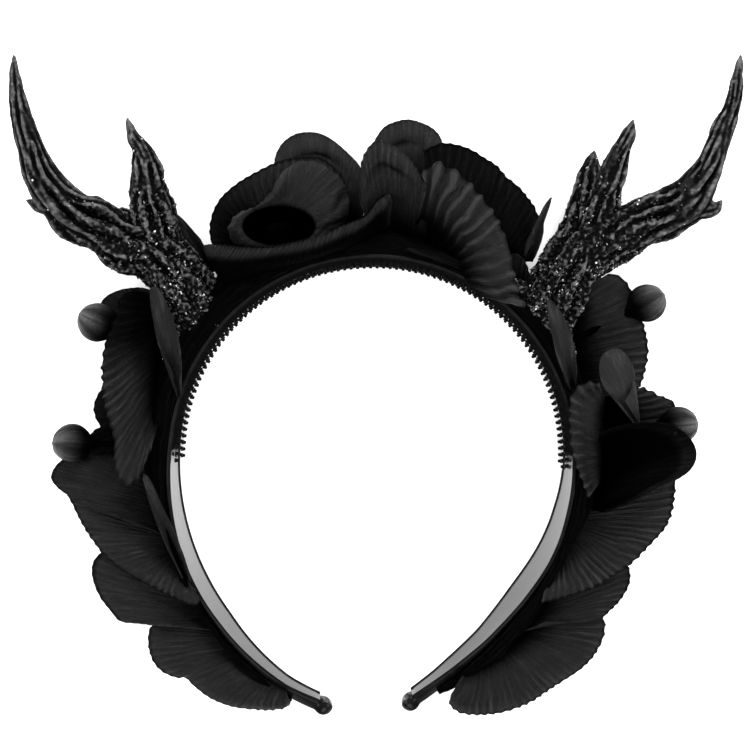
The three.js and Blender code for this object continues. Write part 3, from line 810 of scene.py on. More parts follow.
def grain_tree():
    """Glitter grains scattered over a surface in clumps, thick where its grit attribute is high."""
    tree, given = geometry_tree("glitter_grains", [
        ("Density", "Float", 1300000.0),
        ("Grain", "Float", 0.33 * MM),
        ("Seed", "Int", 0),
        ("Material", "Material", None),
    ])
    clump = add_node(tree, "ShaderNodeTexNoise", {
        "Vector": add_node(tree, "GeometryNodeInputPosition").outputs[0], "Scale": 330.0, "Detail": 2.0,
    }).outputs[0]
    clumped = add_node(tree, "ShaderNodeMapRange", {0: clump, 1: 0.47, 2: 0.6, 3: 0.02, 4: 1.2}).outputs[0]
    density = times(tree, times(tree, named(tree, "grit"), clumped), given["Density"])
    spread = add_node(tree, "GeometryNodeDistributePointsOnFaces", {
        "Mesh": given["Geometry"], "Density": density, "Seed": given["Seed"],
    })
    grain = add_node(tree, "GeometryNodeMeshIcoSphere", {"Radius": given["Grain"], "Subdivisions": 1})
    size = add_node(tree, "FunctionNodeRandomValue", {
        0: (0.3, 0.25, 0.25), 1: (2.4, 1.6, 1.0), "Seed": given["Seed"],
    }, data_type="FLOAT_VECTOR")
    turn = add_node(tree, "FunctionNodeRandomValue", {
        0: (0, 0, 0), 1: (6.28, 6.28, 6.28),
    }, data_type="FLOAT_VECTOR")
    placed = add_node(tree, "GeometryNodeInstanceOnPoints", {
        "Points": spread.outputs[0], "Instance": grain.outputs[0], "Rotation": turn.outputs[0],
        "Scale": size.outputs[0],
    })
    shine = add_node(tree, "FunctionNodeRandomValue", {
        2: 0.0, 3: 1.0, "Seed": given["Seed"],
    }, data_type="FLOAT")
    shown = marked(tree, placed.outputs[0], "shine", shine.outputs[1], "INSTANCE")
    return close_tree(tree, shown, given["Material"])


GRAIN_TREE = grain_tree()

# Pebbles, and the grit that carries the grains, fade with the reach from an antler's seat, which is 1 at
# its rise: value at the seat, fall, and least value.
PEBBLED = (1.15, 1.5, 0.06)
GRITTY = (1.15, 1.2, 0.06)


def fading(reach, start, fall, least):
    return np.clip(start - fall * reach, least, 1)


def make_antler(side, seat_at, branches, seed):
    """One fused casting, pebbled near its foot, and the glitter grains that lie on it."""
    points = []
    faces = []
    for number, rows in enumerate(antler_parts(seat_at, branches)):
        part, part_faces = branch(rows, seed + 3.1 * number, BRANCH_GROOVE if number else FOOT_GROOVE)
        faces += [tuple(v + len(points) for v in face) for face in part_faces]
        points += list(part)
    antler = new_mesh("cast_antler_" + side, points, faces)
    outward(antler)
    remesh = antler.modifiers.new("fused", "REMESH")
    remesh.mode = "VOXEL"
    remesh.voxel_size = 0.5 * MM
    settle(antler)

    seat = station(seat_at)
    places = read(antler.data.vertices, "co", 3)
    normals = read(antler.data.vertices, "normal", 3)
    reach = np.linalg.norm(places - over_band(seat, 0) * MM, axis=1) / (ANTLER_RISE * MM)
    rough = fading(reach, *PEBBLED)
    lift = np.empty(len(places))
    # Pebbles of about a millimetre near the foot, and slow lumps all over.
    for k, place in enumerate(places):
        where = Vector(place) / MM
        pebble = noise.noise(where * 0.75 + Vector((seed, 0, 0)))
        lump = noise.noise(where * 0.22 + Vector((0, seed, 0)))
        lift[k] = rough[k] * 1.1 * max(pebble, -0.3) + 0.4 * lump
    places = places + normals * (lift * MM)[:, None]
    move_points(antler, kept_off_band(places / MM, seat, 0.1) * MM)
    ridge = 0.6 * curvature(antler.data) + 0.58 * np.clip(reach, 0, 0.8) ** 1.2
    float_attribute(antler, "ridge", np.clip(ridge, 0, 1))
    float_attribute(antler, "grit", fading(reach, *GRITTY) ** 1.9)
    antler.data.shade_smooth()

    grains = linked("glitter_grains_" + side, antler.data.copy())
    run_tree(grains, GRAIN_TREE, {"Seed": int(seed * 10), "Material": GRAIN})
    grains.data.shade_flat()
    move_points(grains, read(grains.data.vertices, "co", 3))
    dress(grains, None, "resin")
    return dress(antler, RESIN, "resin", "antler_" + side)


# Petals, leaves and buds

def table(columns, rows):
    return [dict(zip(columns, row)) for row in rows]


def seen(spots, height):
    """The places at this height that show at these spots of the front view."""
    reach = (EYE[2] - height) / EYE_STEPS
    across = EYE[0] + (spots[..., 0] - EYE_SPOT[0]) * reach
    up = EYE[1] - (spots[..., 1] - EYE_SPOT[1]) * reach
    return np.stack([across, up, height + 0 * across], -1)


# Light across a petal, as (place from its first ray at -1 to its last at 1, light).
EVEN = ((-1, 1), (1, 1))
# The first rays of a petal lie in the shade of the petal above it.
UNDER = ((-1, 0.05), (-0.86, 0.3), (-0.66, 1), (1, 1))
# Petals that curl this much have a rolled rim, with a crease below it that is painted dark as shade.
ROLLED = 2.5
# Petals whose rim is painted this light have a broad painted rim, and the others a narrow one, from these
# places on a ray.
LIGHT_RIM = 2
BROAD_RIM = 0.84
NARROW_RIM = 0.96
RIM_FADE = 0.02
# The share of a ray over which the painted shade at its root fades.
DARK_FADE = 0.45
# The place on a ray where its rim begins, the rim's share of it, and the depth of a rolled rim's crease.
RIM_FROM = 0.8
RIM_SHARE = 0.2
CREASE_DEPTH = 1.2

# Each petal is a fan: rays run from its root, between two spots, to its outline. low and high are the
# heights of root and rim, tilt lifts the outline's end over its start, arch swells the middle and curl
# lowers the rim. crimp is the strength of its pleats, shade the strength of the painted light and shade
# on the whole cloth, dark the share of each ray from the root that is painted dark as shade, lit the
# painted light along the outline, and edge the painted light of its rim.
FAN_COLUMNS = [
    "name", "at", "root", "low", "high", "tilt", "arch", "curl", "crimp", "shade", "dark", "lit", "edge",
    "outline",
]
PETALS = table(FAN_COLUMNS, [
    ("left_1", -0.4, ((162, 300), (157, 418)), 12, 28, -3, 5, 2, 0.75, 1.05, 0.1,
     ((-1, 0.08), (-0.55, 0.15), (-0.15, 0.9), (0.85, 1), (1, 0.3)), 0.4,
     [(131, 290), (118, 300), (112, 322), (105, 340), (101, 362), (102, 390), (106, 414), (112, 440),
      (112, 462), (116, 478), (125, 485), (135, 478), (143, 460), (149, 444), (151, 430)]),
    ("left_2", -0.35, ((150, 310), (135, 345)), 5, 9, 0, 1, 0, 0.2, 0.7, 0.1, EVEN, 0.3,
     [(152, 292), (141, 289), (132, 289), (119, 291), (106, 297), (99, 306), (98, 320), (104, 336)]),
    ("left_3", -0.44, ((128, 395), (128, 440)), 5, 8, 0, 1, 0, 0.5, 0.35, 0.0, EVEN, 0.3,
     [(104, 384), (96, 395), (92, 408), (95, 420), (99, 427), (90, 433), (82, 442), (82, 453), (96, 460),
      (110, 462)]),
    ("left_4", -0.56, ((158, 462), (172, 540)), 10, 19, 2.5, 3, 1.5, 0.15, 0.9, 0.0,
     ((-1, 0.35), (-0.3, 0.75), (0.2, 1), (1, 1)), 0.5,
     [(128, 456), (110, 456), (88, 456.5), (66, 458), (55, 465), (50, 477), (57, 487), (68, 495), (84, 505),
      (110, 514)]),
    ("left_5", -0.56, ((166, 528), (184, 560)), 10, 18, 2.5, 3.5, 1.5, 0.4, 1.0, -0.1, UNDER, 0.3,
     [(110, 500), (84, 494), (66, 493), (70, 503), (79, 521), (91, 541), (101, 555), (119, 570), (143, 584),
      (167, 596), (188, 605), (196, 600), (193, 586)]),
    ("left_6", -0.715, ((196, 596), (220, 633)), 8, 15, 2.5, 3, 1.5, 0.35, 1.0, -0.1, UNDER, 0.3,
     [(128, 558), (110, 549), (99, 553), (91, 562), (90, 576), (97, 595), (108, 611), (117, 621),
      (135, 623), (170, 627)]),
    ("left_7", -0.815, ((218, 628), (281, 692)), 5, 12, 2.5, 3.5, 2, 0.35, 1.0, -0.1, UNDER, 0.3,
     [(170, 622), (148, 626), (144, 643), (148, 661), (158, 673), (172, 679), (181, 679), (190, 688),
      (206, 701), (226, 709), (246, 712), (266, 712), (281, 709), (284, 703)]),
    ("crown_left_3", -0.13, ((238, 250), (318, 238)), 10, 18, 2, 2, 1, 0.4, 1.0, 0.1,
     ((-1, 0.2), (-0.6, 0.22), (-0.35, 0.45), (-0.1, 0.85), (0.2, 0.9), (1, 0.9)), 0.25,
     [(209, 246), (207, 232), (210, 216), (218, 201), (229, 190), (240, 182), (254, 174), (272, 165),
      (290, 160), (307, 159), (318, 160), (328, 167), (339, 179), (343, 193), (342, 203)]),
    ("crown_left_4", -0.1, ((290, 240), (352, 235)), 5, 9, 0, 2, 2.5, 0.1, 1.35, 0.3, EVEN, 0.6,
     [(270, 180), (272, 160), (280, 146), (292, 138), (304, 136), (316, 137), (329, 143), (343, 154),
      (355, 167), (360, 182), (365, 200)]),
    ("crown_right_1", 0.115, ((408, 240), (450, 290)), 16, 38, 0, 3, 1.5, 1.9, 1.5, 0.3,
     ((-1, 0.6), (-0.7, 0.9), (0.6, 1), (1, 0.6)), 0.5,
     [(421, 190), (422, 174), (430, 164), (440, 167), (452, 173), (464, 183), (474, 194), (484, 205),
      (493, 218), (499, 231), (504, 243), (507, 256), (509, 268), (512, 281), (516, 294), (522, 308)]),
    ("crown_right_2", 0.058, ((368, 262), (424, 262)), 14, 24, 0, 5, 3, 0.3, 0.95, 0.3,
     ((-1, 1), (0.5, 1), (0.85, 0.3), (1, 0.1)), 0.6,
     [(357, 196), (356, 182), (358, 169), (362, 155), (369, 145), (377, 142), (387, 147), (399, 155),
      (409, 165), (417, 178), (421, 195), (422, 215)]),
    ("crown_right_3", 0.13, ((428, 240), (506, 290)), 9, 16, 0, 2, 0.5, 0.5, 0.25, 0.2, EVEN, 0.5,
     [(420, 152), (437, 145), (452, 146), (467, 151), (480, 159), (493, 167), (503, 178), (515, 187),
      (525, 198), (532, 208), (537, 222), (536, 236), (527, 250)]),
    ("crown_right_4", 0.045, ((385, 235), (425, 235)), 4, 8, 0, 2, 2.5, 0.1, 1.2, 0.3, EVEN, 0.6,
     [(364, 165), (369, 148), (374, 137), (381, 128), (392, 123), (404, 121), (417, 124), (429, 130),
      (437, 140), (440, 155)]),
    ("crown_right_5", 0.22, ((508, 290), (528, 312)), 10, 16, 0, 1, 0, 0.4, 0.4, 0.1, EVEN, 1.3,
     [(498, 262), (510, 254), (520, 259), (526, 272), (530, 286), (533, 300)]),
    ("right_1", 0.345, ((556, 296), (574, 402)), 8, 20, 0, 3, 1.5, 0.5, 0.95, 0.08, EVEN, 0.3,
     [(598, 282), (606, 277), (615, 277), (624, 284), (630, 296), (632, 305), (637, 314), (642, 326),
      (646, 342), (647, 356), (645, 371), (641, 384), (636, 391), (628, 394)]),
    ("right_2", 0.49, ((604, 402), (600, 484)), 18, 32, 0, 2, 1, 0.9, 1.0, 0.0, EVEN, 0.3,
     [(598, 386), (588, 384), (577, 388), (570, 397), (568, 412), (568, 430), (570, 450), (575, 468),
      (581, 484), (588, 500)]),
    ("right_3", 0.55, ((596, 452), (588, 512)), 15, 27, 0, -3, -1, 0.15, 0.16, 0.1,
     ((-1, 0.2), (-0.1, 0.3), (0.1, 1), (0.5, 1), (0.8, 0.3), (1, 0.2)), 4.0,
     [(600, 436), (615, 430), (632, 426), (650, 425), (668, 427), (682, 433), (692, 441), (698, 452),
      (698, 463), (692, 473), (680, 481), (664, 488), (646, 498), (626, 507), (606, 515)]),
    ("right_4", 0.47, ((584, 384), (592, 440)), 8, 13, 0, 2, 0.5, 0.8, 1.0, 0.4, EVEN, 0.3,
     [(610, 388), (628, 390), (645, 391), (660, 398), (671, 402), (677, 410), (679, 418), (668, 424),
      (650, 427)]),
    ("right_5", 0.59, ((572, 512), (556, 546)), 8, 17, 2.5, 3.5, 1.5, 0.55, 1.05, -0.1, UNDER, 0.3,
     [(640, 488), (664, 480), (675, 484), (675, 500), (673, 516), (667, 531), (655, 545), (643, 558),
      (629, 571), (614, 581), (596, 592), (576, 600), (556, 605), (540, 608)]),
    ("right_6", 0.735, ((540, 606), (506, 642)), 7, 14, 2, 3, 1.5, 0.3, 0.85, 0.0, UNDER, 0.3,
     [(590, 590), (612, 580), (627, 571), (631, 580), (629, 592), (620, 606), (609, 617), (602, 623),
      (582, 626), (556, 625)]),
    ("right_7", 0.83, ((542, 622), (462, 678)), 5, 12, 1, 3.5, 2, 0.4, 0.95, 0.0, UNDER, 0.3,
     [(572, 618), (596, 619), (604, 626), (604, 641), (596, 659), (584, 673), (568, 685), (548, 697),
      (528, 709), (504, 718), (478, 722), (458, 720), (447, 711), (448, 702), (458, 687)]),
])
# What all leaves have in common, and what each has of its own.
LEAF_FORM = {"tilt": 0, "curl": 0, "lit": EVEN}
LEAF_COLUMNS = ["name", "at", "root", "low", "high", "arch", "shade", "dark", "edge", "outline"]
LEAVES = table(LEAF_COLUMNS, [
    ("left_1", -0.4, ((175, 400), (178, 398)), 22, 30, 1.5, 0.5, -0.1, 1.0,
     [(168, 368), (157, 347), (151, 322), (148, 298), (150, 288), (157, 291), (167, 310), (174, 332),
      (178, 356), (177, 380)]),
    ("left_2", -0.72, ((186, 594), (189, 592)), 15, 24, 0.5, 0.5, -0.1, 0.8,
     [(173, 568), (160, 541), (149, 512), (141, 484), (140, 474), (146, 478), (156, 500), (168, 526),
      (178, 551), (185, 574)]),
    ("left_3", -0.24, ((206, 276), (220, 268)), 6, 12, 0.5, 0.4, 0.0, 0.8,
     [(196, 270), (183, 250), (173, 231), (167, 213), (173, 215), (184, 225), (195, 238), (205, 252),
      (214, 264)]),
    ("crown", 0.15, ((468, 274), (472, 268)), 22, 24, 0.5, 0.14, -0.1, 0.8,
     [(452, 267), (430, 260), (412, 254), (402, 249), (420, 250), (440, 255), (458, 263)]),
    ("right_1", 0.235, ((521, 262), (530, 262)), 12, 22, 0.5, 0.7, 0.0, 0.8,
     [(523, 246), (530, 230), (537, 214), (543, 203), (549, 197), (546, 205), (542, 214), (540, 230),
      (537, 243)]),
    ("right_2", 0.395, ((571, 396), (574, 394)), 20, 26, 1.5, 0.6, -0.1, 0.8,
     [(564, 380), (554, 352), (548, 322), (545, 300), (553, 306), (563, 322), (571, 344), (575, 368)]),
    ("right_3", 0.34, ((638, 430), (641, 428)), 20, 28, 1.5, 0.75, -0.2, 1.0,
     [(618, 404), (603, 388), (598, 372), (600, 358), (608, 351), (618, 350), (627, 358), (633, 372),
      (631, 390), (624, 402)]),
])
BUD_UP = 0.4  # share of the band's width
BUD_LEAN = 18  # degrees to the front
BUDS = table(["name", "at", "turn", "long"], [
    ("left_1", -0.356, -2, 0.96),
    ("left_2", -0.481, 2, 0.9),
    ("right_1", 0.335, 2, 1.04),
    ("right_2", 0.472, 0, 0.985),
])


def even_line(spots, count):
    """Evenly spaced places on a smooth line through the spots."""
    line = smooth_line(spots, 12 * len(spots))
    far = np.concatenate([[0], np.cumsum(np.linalg.norm(np.diff(line, axis=0), axis=1))])
    wanted = np.linspace(0, far[-1], count)
    return np.stack([np.interp(wanted, far, line[:, axis]) for axis in (0, 1)], -1)


def fan(row, rows, columns, rib=0.0):
    """The places, rays and painted light and shade of a petal or leaf that fans out from its root."""
    outline = even_line(row["outline"], columns)
    share = np.linspace(-1, 1, columns)[None, :]
    ray = 1 - (1 - np.linspace(0, 1, rows)[:, None]) ** 1.3
    first, last = (np.array(spot, float) for spot in row["root"])
    roots = first + (last - first) * (share[0][:, None] + 1) / 2
    spots = roots[None] + (outline - roots)[None] * ray[..., None]
    climb = 0.5 * ray + 0.5 * smoothstep(ray)
    height = row["low"] + (row["high"] + row["tilt"] * share - row["low"]) * climb
    height = height + row["arch"] * np.sin(math.pi * ray) * (1 - 0.4 * share ** 2)
    height = height - row["curl"] * np.clip((ray - RIM_FROM) / RIM_SHARE, 0, 1) ** 2
    height = height + rib * (1 - np.abs(share)) * np.sin(math.pi * ray)
    crease = np.exp(-((ray - RIM_FROM - 0.04 * share) / 0.03) ** 2) * (row["curl"] >= ROLLED)
    crease = crease * np.clip(1.3 - 2 * np.abs(share + 0.15), 0, 1)
    height = height - CREASE_DEPTH * crease
    points = kept_off_band(seen(spots, height), station(row["at"]), 0.5)
    # Painted light and shade: dark at the root, the rim lighter or darker, the crease dark, by the row's
    # shade, dark, lit and edge.
    inner = np.clip((ray - row["dark"]) / DARK_FADE, 0, 1)
    edge = np.clip((ray - (NARROW_RIM if row["edge"] < LIGHT_RIM else BROAD_RIM)) / RIM_FADE, 0, 1)
    lit = row_value(row["lit"], share)
    painted_shading = row["shade"] * lit * (0.04 + 0.96 * inner * inner * (3 - 2 * inner))
    painted_shading = (painted_shading * (1 - edge) + row["edge"] * row["shade"] * lit * edge) * (1 - 0.85 * crease)
    return points, ray + 0 * share, painted_shading


def pleat_tree():
    """Presses pleats into a sheet along its rays, scallops its rim and stores painted light and shade for its
    crests.
    """
    tree, given = geometry_tree("pressed_pleats", [
        ("Pleats", "Float", 30.0),
        ("Depth", "Float", PLEAT_DEPTH * MM),
        ("Scallop", "Float", 0.3 * MM),
        ("Wobble", "Float", 0.7),
        ("Contrast", "Float", 1.0),
        ("Ruffle", "Float", 1.6 * MM),
        ("Seed", "Float", 0.0),
        ("Material", "Material", None),
    ])
    ray = named(tree, "ray")
    place = add_node(tree, "GeometryNodeInputPosition").outputs[0]
    waver, patch, swell = (
        add_node(tree, "ShaderNodeTexNoise", {
            "Vector": place, "W": given["Seed"], "Scale": scale, "Detail": detail,
        }, noise_dimensions="4D").outputs[0]
        for scale, detail in ((90.0, 2.0), (60.0, 1.0), (32.0, 1.0))
    )
    turned = times(tree, calc(tree, "SUBTRACT", waver, 0.5), given["Wobble"])
    count = times(tree, named(tree, "share"), given["Pleats"])
    phase = calc(tree, "ADD", count, times(tree, turned, 4.0))
    arch = calc(tree, "ABSOLUTE", calc(tree, "SINE", times(tree, phase, math.pi / 2)))
    wave = calc(tree, "SUBTRACT", 1.2, times(tree, arch, 2.0))
    fine = calc(tree, "SINE", times(tree, phase, 7.4))
    both = calc(tree, "ADD", wave, times(tree, fine, 0.25))
    strong = times(tree, calc(tree, "SUBTRACT", patch, 0.25), 3.0)
    opened = times(tree, calc(tree, "POWER", ray, 1.4), strong)
    lift = times(tree, times(tree, both, opened), given["Depth"])
    swelling = times(tree, calc(tree, "SUBTRACT", swell, 0.5), given["Ruffle"])
    lift = calc(tree, "ADD", lift, times(tree, times(tree, swelling, ray), 2.0))
    edge = times(tree, calc(tree, "POWER", ray, 6.0), given["Scallop"])
    normal = add_node(tree, "GeometryNodeInputNormal").outputs[0]
    raised, pulled = (
        add_node(tree, "ShaderNodeVectorMath", {0: way, "Scale": far}, operation="SCALE").outputs[0]
        for way, far in ((normal, lift), (named(tree, "along", "FLOAT_VECTOR"), times(tree, edge, wave)))
    )
    moved = add_node(tree, "ShaderNodeVectorMath", {0: raised, 1: pulled}, operation="ADD").outputs[0]
    pressed = add_node(tree, "GeometryNodeSetPosition", {"Geometry": given["Geometry"], "Offset": moved})
    # Painted light and shade of the pleats: crests lighter, hollows darker, as strong as the Contrast input.
    crest_light = times(tree, times(tree, wave, opened), given["Contrast"])
    shown = marked(tree, pressed.outputs[0], "crest_light", crest_light, "POINT")
    return close_tree(tree, shown, given["Material"])


PLEAT_TREE = pleat_tree()


def line_lengths(points, axis):
    """The lengths along the longest line of points that runs along this axis."""
    longest = np.linalg.norm(np.diff(points, axis=axis), axis=2).sum(axis).argmax()
    line = points[longest] if axis == 1 else points[:, longest]
    return np.cumsum(np.linalg.norm(np.diff(line, axis=0, prepend=line[:1]), axis=1))


def sheet_piece(name, points, ray, painted_shading, tree_values, cloth):
    """A thickened piece of cloth from rows of points, pleated across its rows. Gives its flat size too."""
    rows, columns = points.shape[:2]
    piece = new_mesh(name, points.reshape(-1, 3), grid_faces(rows, columns))
    if sum(face.normal.z * face.area for face in piece.data.polygons) < 0:
        piece.data.flip_normals()
    float_attribute(piece, "ray", ray)
    float_attribute(piece, "share", np.repeat(np.linspace(-1, 1, columns)[None], rows, 0))
    float_attribute(piece, "painted_shading", painted_shading)
    along = np.gradient(points, axis=0)
    vector_attribute(piece, "along", along / np.maximum(np.linalg.norm(along, axis=2), 1e-9)[..., None])
    across = line_lengths(points, 1)
    down = line_lengths(points, 0)
    cloth_maps(piece, (points[..., 0], points[..., 1]), np.meshgrid(down, across, indexing="ij")[::-1])
    area = sum(face.area for face in piece.data.polygons)
    run_tree(piece, PLEAT_TREE, tree_values | {"Material": cloth})
    solid = piece.modifiers.new("wall", "SOLIDIFY")
    solid.thickness = CLOTH * MM
    solid.offset = 0
    return sharpened(settle(piece), 55), (across[-1] * MM, down[-1] * MM), area


# How much cloth the pleats take up, and the least share of its flat size that a sheet fills.
PLEATED = 1.05
LEAST_FILL = 0.31


def lay_sheet(name, points, ray, painted_shading, tree_values, *nodes):
    """A piece of petal cloth, standing for these solids."""
    piece, flat, area = sheet_piece(name, points, ray, painted_shading, tree_values, PETAL_CLOTH)
    dress(piece, PETAL_CLOTH, "fabric", *nodes)
    area = max(min(PLEATED * area, flat[0] * flat[1]), LEAST_FILL * flat[0] * flat[1])
    return piece


def make_petal(row, number):
    step = 0.35  # millimetres for a step of the front view
    rim = np.linalg.norm(np.diff(even_line(row["outline"], 60), axis=0), axis=1).sum() * step
    crimp = row["crimp"]
    pleats = max(round(rim / (PLEAT_PITCH * (0.7 + 0.7 * crimp))), 4)
    points, ray, painted_shading = fan(row, 22, max(10 * pleats, 130) + 1)
    return lay_sheet("cloth_petal_" + row["name"], points, ray, painted_shading, {
        "Pleats": float(pleats), "Depth": PLEAT_DEPTH * MM * crimp, "Scallop": 0.22 * MM * min(crimp, 1),
        "Contrast": min(crimp * 1.6, 3), "Seed": number * 1.7,
    }, "petal_" + row["name"])


def dress_loft(name, points, painted_shading, ray, number, pleats, crimp, ruffle):
    """A petal from rows of points, in place of a fan."""
    return lay_sheet("cloth_petal_" + name, points, ray, painted_shading, {
        "Pleats": float(pleats), "Depth": PLEAT_DEPTH * MM * crimp, "Scallop": 0.3 * MM * crimp,
        "Ruffle": ruffle * MM, "Contrast": 0.3, "Seed": number * 1.7,
    }, "petal_" + name)


# The cup in the left flower's heart: an oval hollow with a skirt that spreads over the petal behind it.
CUP_MIDDLE = (-33.2, 10.4, 31.0)
CUP_WIDE = 12.4
CUP_HIGH = 6.9
CUP_DEPTH = 13.0
CUP_BULGE = 1.6  # rise of the skirt beside the rim
CUP_FALL = 6.5  # from the rim to the skirt's end
CUP_RIM = 0.4  # share of its rows that lie in the hollow
# Reach of the skirt from the cup's middle, by degrees.
CUP_SKIRT = [
    (0, 22), (20, 25.5), (35, 27), (60, 26), (76, 23), (88, 18), (100, 12.5), (120, 10.5), (140, 10.3),
    (153, 12.6), (166, 15.7), (182, 17.5), (200, 16.5), (215, 13.5), (230, 10), (270, 7.5), (310, 12),
    (335, 18), (360, 22),
]
# Light on the skirt, by degrees.
CUP_LIGHT = [
    (0, 1), (60, 1), (92, 0.6), (145, 0.4), (158, 0.9), (200, 0.8), (235, 0.3), (320, 0.6), (360, 1),
]
# Small rolled folds of its skirt, each with painted shade beside it: middle, direction in degrees, half
# length and width, height.
CUP_ROLLS = [
    (-12.5, 15.5, 35, 6, 1.3, 1.8), (-16.5, 12.5, 20, 5, 0.9, 1.2), (-20.0, 9.0, 40, 3, 0.7, 1.0),
    (-14.5, 20.0, 65, 5, 1.0, 0.9),
]


def make_cup(number):
    columns = 301
    rows = 34
    turn = np.linspace(0, 2 * math.pi, columns)
    skirt = row_value(CUP_SKIRT, np.degrees(turn))
    rim = CUP_WIDE * CUP_HIGH / np.hypot(CUP_HIGH * np.cos(turn), CUP_WIDE * np.sin(turn))
    points = np.empty((rows, columns, 3))
    painted_shading = np.empty((rows, columns))
    for i in range(rows):
        t = i / (rows - 1)
        down = max(1 - t / CUP_RIM, 0)
        over = max((t - CUP_RIM) / (1 - CUP_RIM), 0)
        reach = rim * (1 - 0.6 * down ** 2) + (np.maximum(skirt, rim + 0.5) - rim) * over
        points[i, :, 0] = CUP_MIDDLE[0] + reach * np.cos(turn)
        points[i, :, 1] = CUP_MIDDLE[1] + reach * np.sin(turn)
        bulge = CUP_BULGE * math.sin(over * math.pi)
        points[i, :, 2] = CUP_MIDDLE[2] - CUP_DEPTH * down + bulge - CUP_FALL * over ** 1.6
        # The hollow up to the rim is painted black as shade.
        painted_shading[i] = np.clip((t - CUP_RIM) / 0.05, 0.01, 0.95)
    painted_shading *= row_value(CUP_LIGHT, np.degrees(turn))
    for middle_x, middle_y, degrees, long, wide, high in CUP_ROLLS:
        way = math.radians(degrees)
        x = points[..., 0] - middle_x
        y = points[..., 1] - middle_y
        along = (x * math.cos(way) + y * math.sin(way)) / long
        aside = (y * math.cos(way) - x * math.sin(way)) / wide
        points[..., 2] += high * np.exp(-along ** 2 - aside ** 2)
        # Painted shade beside the fold.
        painted_shading *= 1 - 0.7 * np.exp(-along ** 2 - (aside + 1.6) ** 2 * 2)
    ray = np.repeat(np.clip(np.linspace(-0.67, 1, rows), 0.0, 0.96)[:, None], columns, 1)
    return dress_loft("crown_left_2", points, painted_shading, ray, number, pleats=34, crimp=0.35, ruffle=0.5)


# The left flower's front lip, seen from in front: its upper edge and its lower edge, left to right.
LIP_UPPER = [
    (-58.4, 3.8), (-50.5, 2.7), (-42.6, 2.4), (-30.6, 3.8), (-21.0, 6.5), (-10.8, 10.3), (-3.6, 13.3),
    (0.6, 18.5), (4.5, 21.2),
]
LIP_LOWER = [
    (-58.8, 2.6), (-55.0, -4.0), (-47.5, -4.6), (-35.5, -2.8), (-22.8, -0.1), (-13.1, 3.0), (-6.5, 6.5),
    (0.4, 12.2), (5.4, 18.8),
]
# Rows of the lip from its hidden inside to its root: share from upper to lower edge, rise, and light.
LIP_ROWS = [
    (-0.35, 22, 0.02), (-0.15, 28, 0.1), (0.0, 31, 0.85), (0.3, 32, 1.0), (0.6, 31.5, 0.75),
    (0.85, 30, 0.2), (1.0, 28, 0.1), (1.12, 23, 0.05), (1.05, 16, 0.03),
]
# The light falls off within this many millimetres below the upper edge.
LIP_LIT = 4.8


def make_lip(number):
    columns = 261
    rooted_from = 25  # rows from here on are drawn in to the band
    upper = smooth_line(LIP_UPPER, columns - 1)
    lower = smooth_line(LIP_LOWER, columns - 1)
    profile = smooth_line(LIP_ROWS, 35)
    points = np.empty((len(profile), columns, 3))
    painted_shading = np.empty((len(profile), columns))
    lit_from = np.linalg.norm(lower - upper, axis=1) / LIP_LIT
    shares, _, lights = np.array(LIP_ROWS[:-1]).T
    for i, (share, rise, lit) in enumerate(profile):
        points[i, :, :2] = upper + (lower - upper) * share
        points[i, :, 2] = rise
        painted_shading[i] = np.interp(share * lit_from, shares, lights) if share > 0 else max(lit, 0.02)
    root = np.clip((np.arange(len(profile)) - rooted_from) / 10, 0, 1)[:, None]
    away, out = outside_of_band(points.reshape(-1, 3))
    tucked = (points.reshape(-1, 3) - out * (away - 4.0)[:, None]).reshape(points.shape)
    points = points + (tucked - points) * 0.6 * root[..., None]
    ray = np.repeat(np.linspace(1.0, 0.3, len(profile))[:, None], columns, 1)
    return dress_loft("crown_left_1", points, painted_shading, ray, number, pleats=50, crimp=0.45, ruffle=0.8)


# How far the gathered roots of the petals swell out beside the band, by place along it.
ROOT_SWELL = [
    (-0.95, 0.8), (-0.86, 2.5), (-0.7, 2.5), (-0.62, 3.0), (-0.56, 6.5), (-0.5, 8.0), (-0.4, 8.0),
    (-0.3, 9.0), (-0.21, 13.0), (-0.1, 10.0), (0.0, 11.0), (0.1, 9.0), (0.2, 6.0), (0.36, 6.5), (0.5, 7.0),
    (0.57, 8.0), (0.61, 6.0), (0.64, 3.5), (0.7, 3.5), (0.78, 6.5), (0.86, 6.0), (0.93, 3.5), (0.965, 0.8),
]
# The section of the gathered roots: share of the swell outside the band, and share of the band's width.
ROOT_SECTION = [(-0.1, 0.93), (0.1, 1.0), (0.45, 0.98), (0.85, 0.8), (1.0, 0.55), (0.75, 0.32), (0.1, 0.28)]
# The roll's cloth is painted this dark, as shade.
ROOT_PAINTED_SHADE = 0.12


def make_roots():
    """The petals' roots, gathered into a roll of cloth along the outside of the band and painted dark as
    shade.
    """
    section = smooth_line(ROOT_SECTION, 32)
    points = []
    for at in np.linspace(ROOT_SWELL[0][0], ROOT_SWELL[-1][0], 281):
        place = station(at)
        swell = row_value(ROOT_SWELL, at) * (1 + 0.18 * noise.noise(Vector((at * 25, 1.7, 0))))
        edge = place["wall"] * 0.9
        points.append([
            on_band(at, edge + share * swell, height * place["width"]) for share, height in section
        ])
    points = np.array(points)
    even = np.ones(points.shape[:2])
    return lay_sheet("cloth_gathered_roots", points, 0.8 * even, ROOT_PAINTED_SHADE * even, {
        "Pleats": 7.0, "Depth": 0.7 * MM, "Scallop": 0.0, "Wobble": 0.9, "Ruffle": 1.0 * MM, "Seed": 80.0,
    })


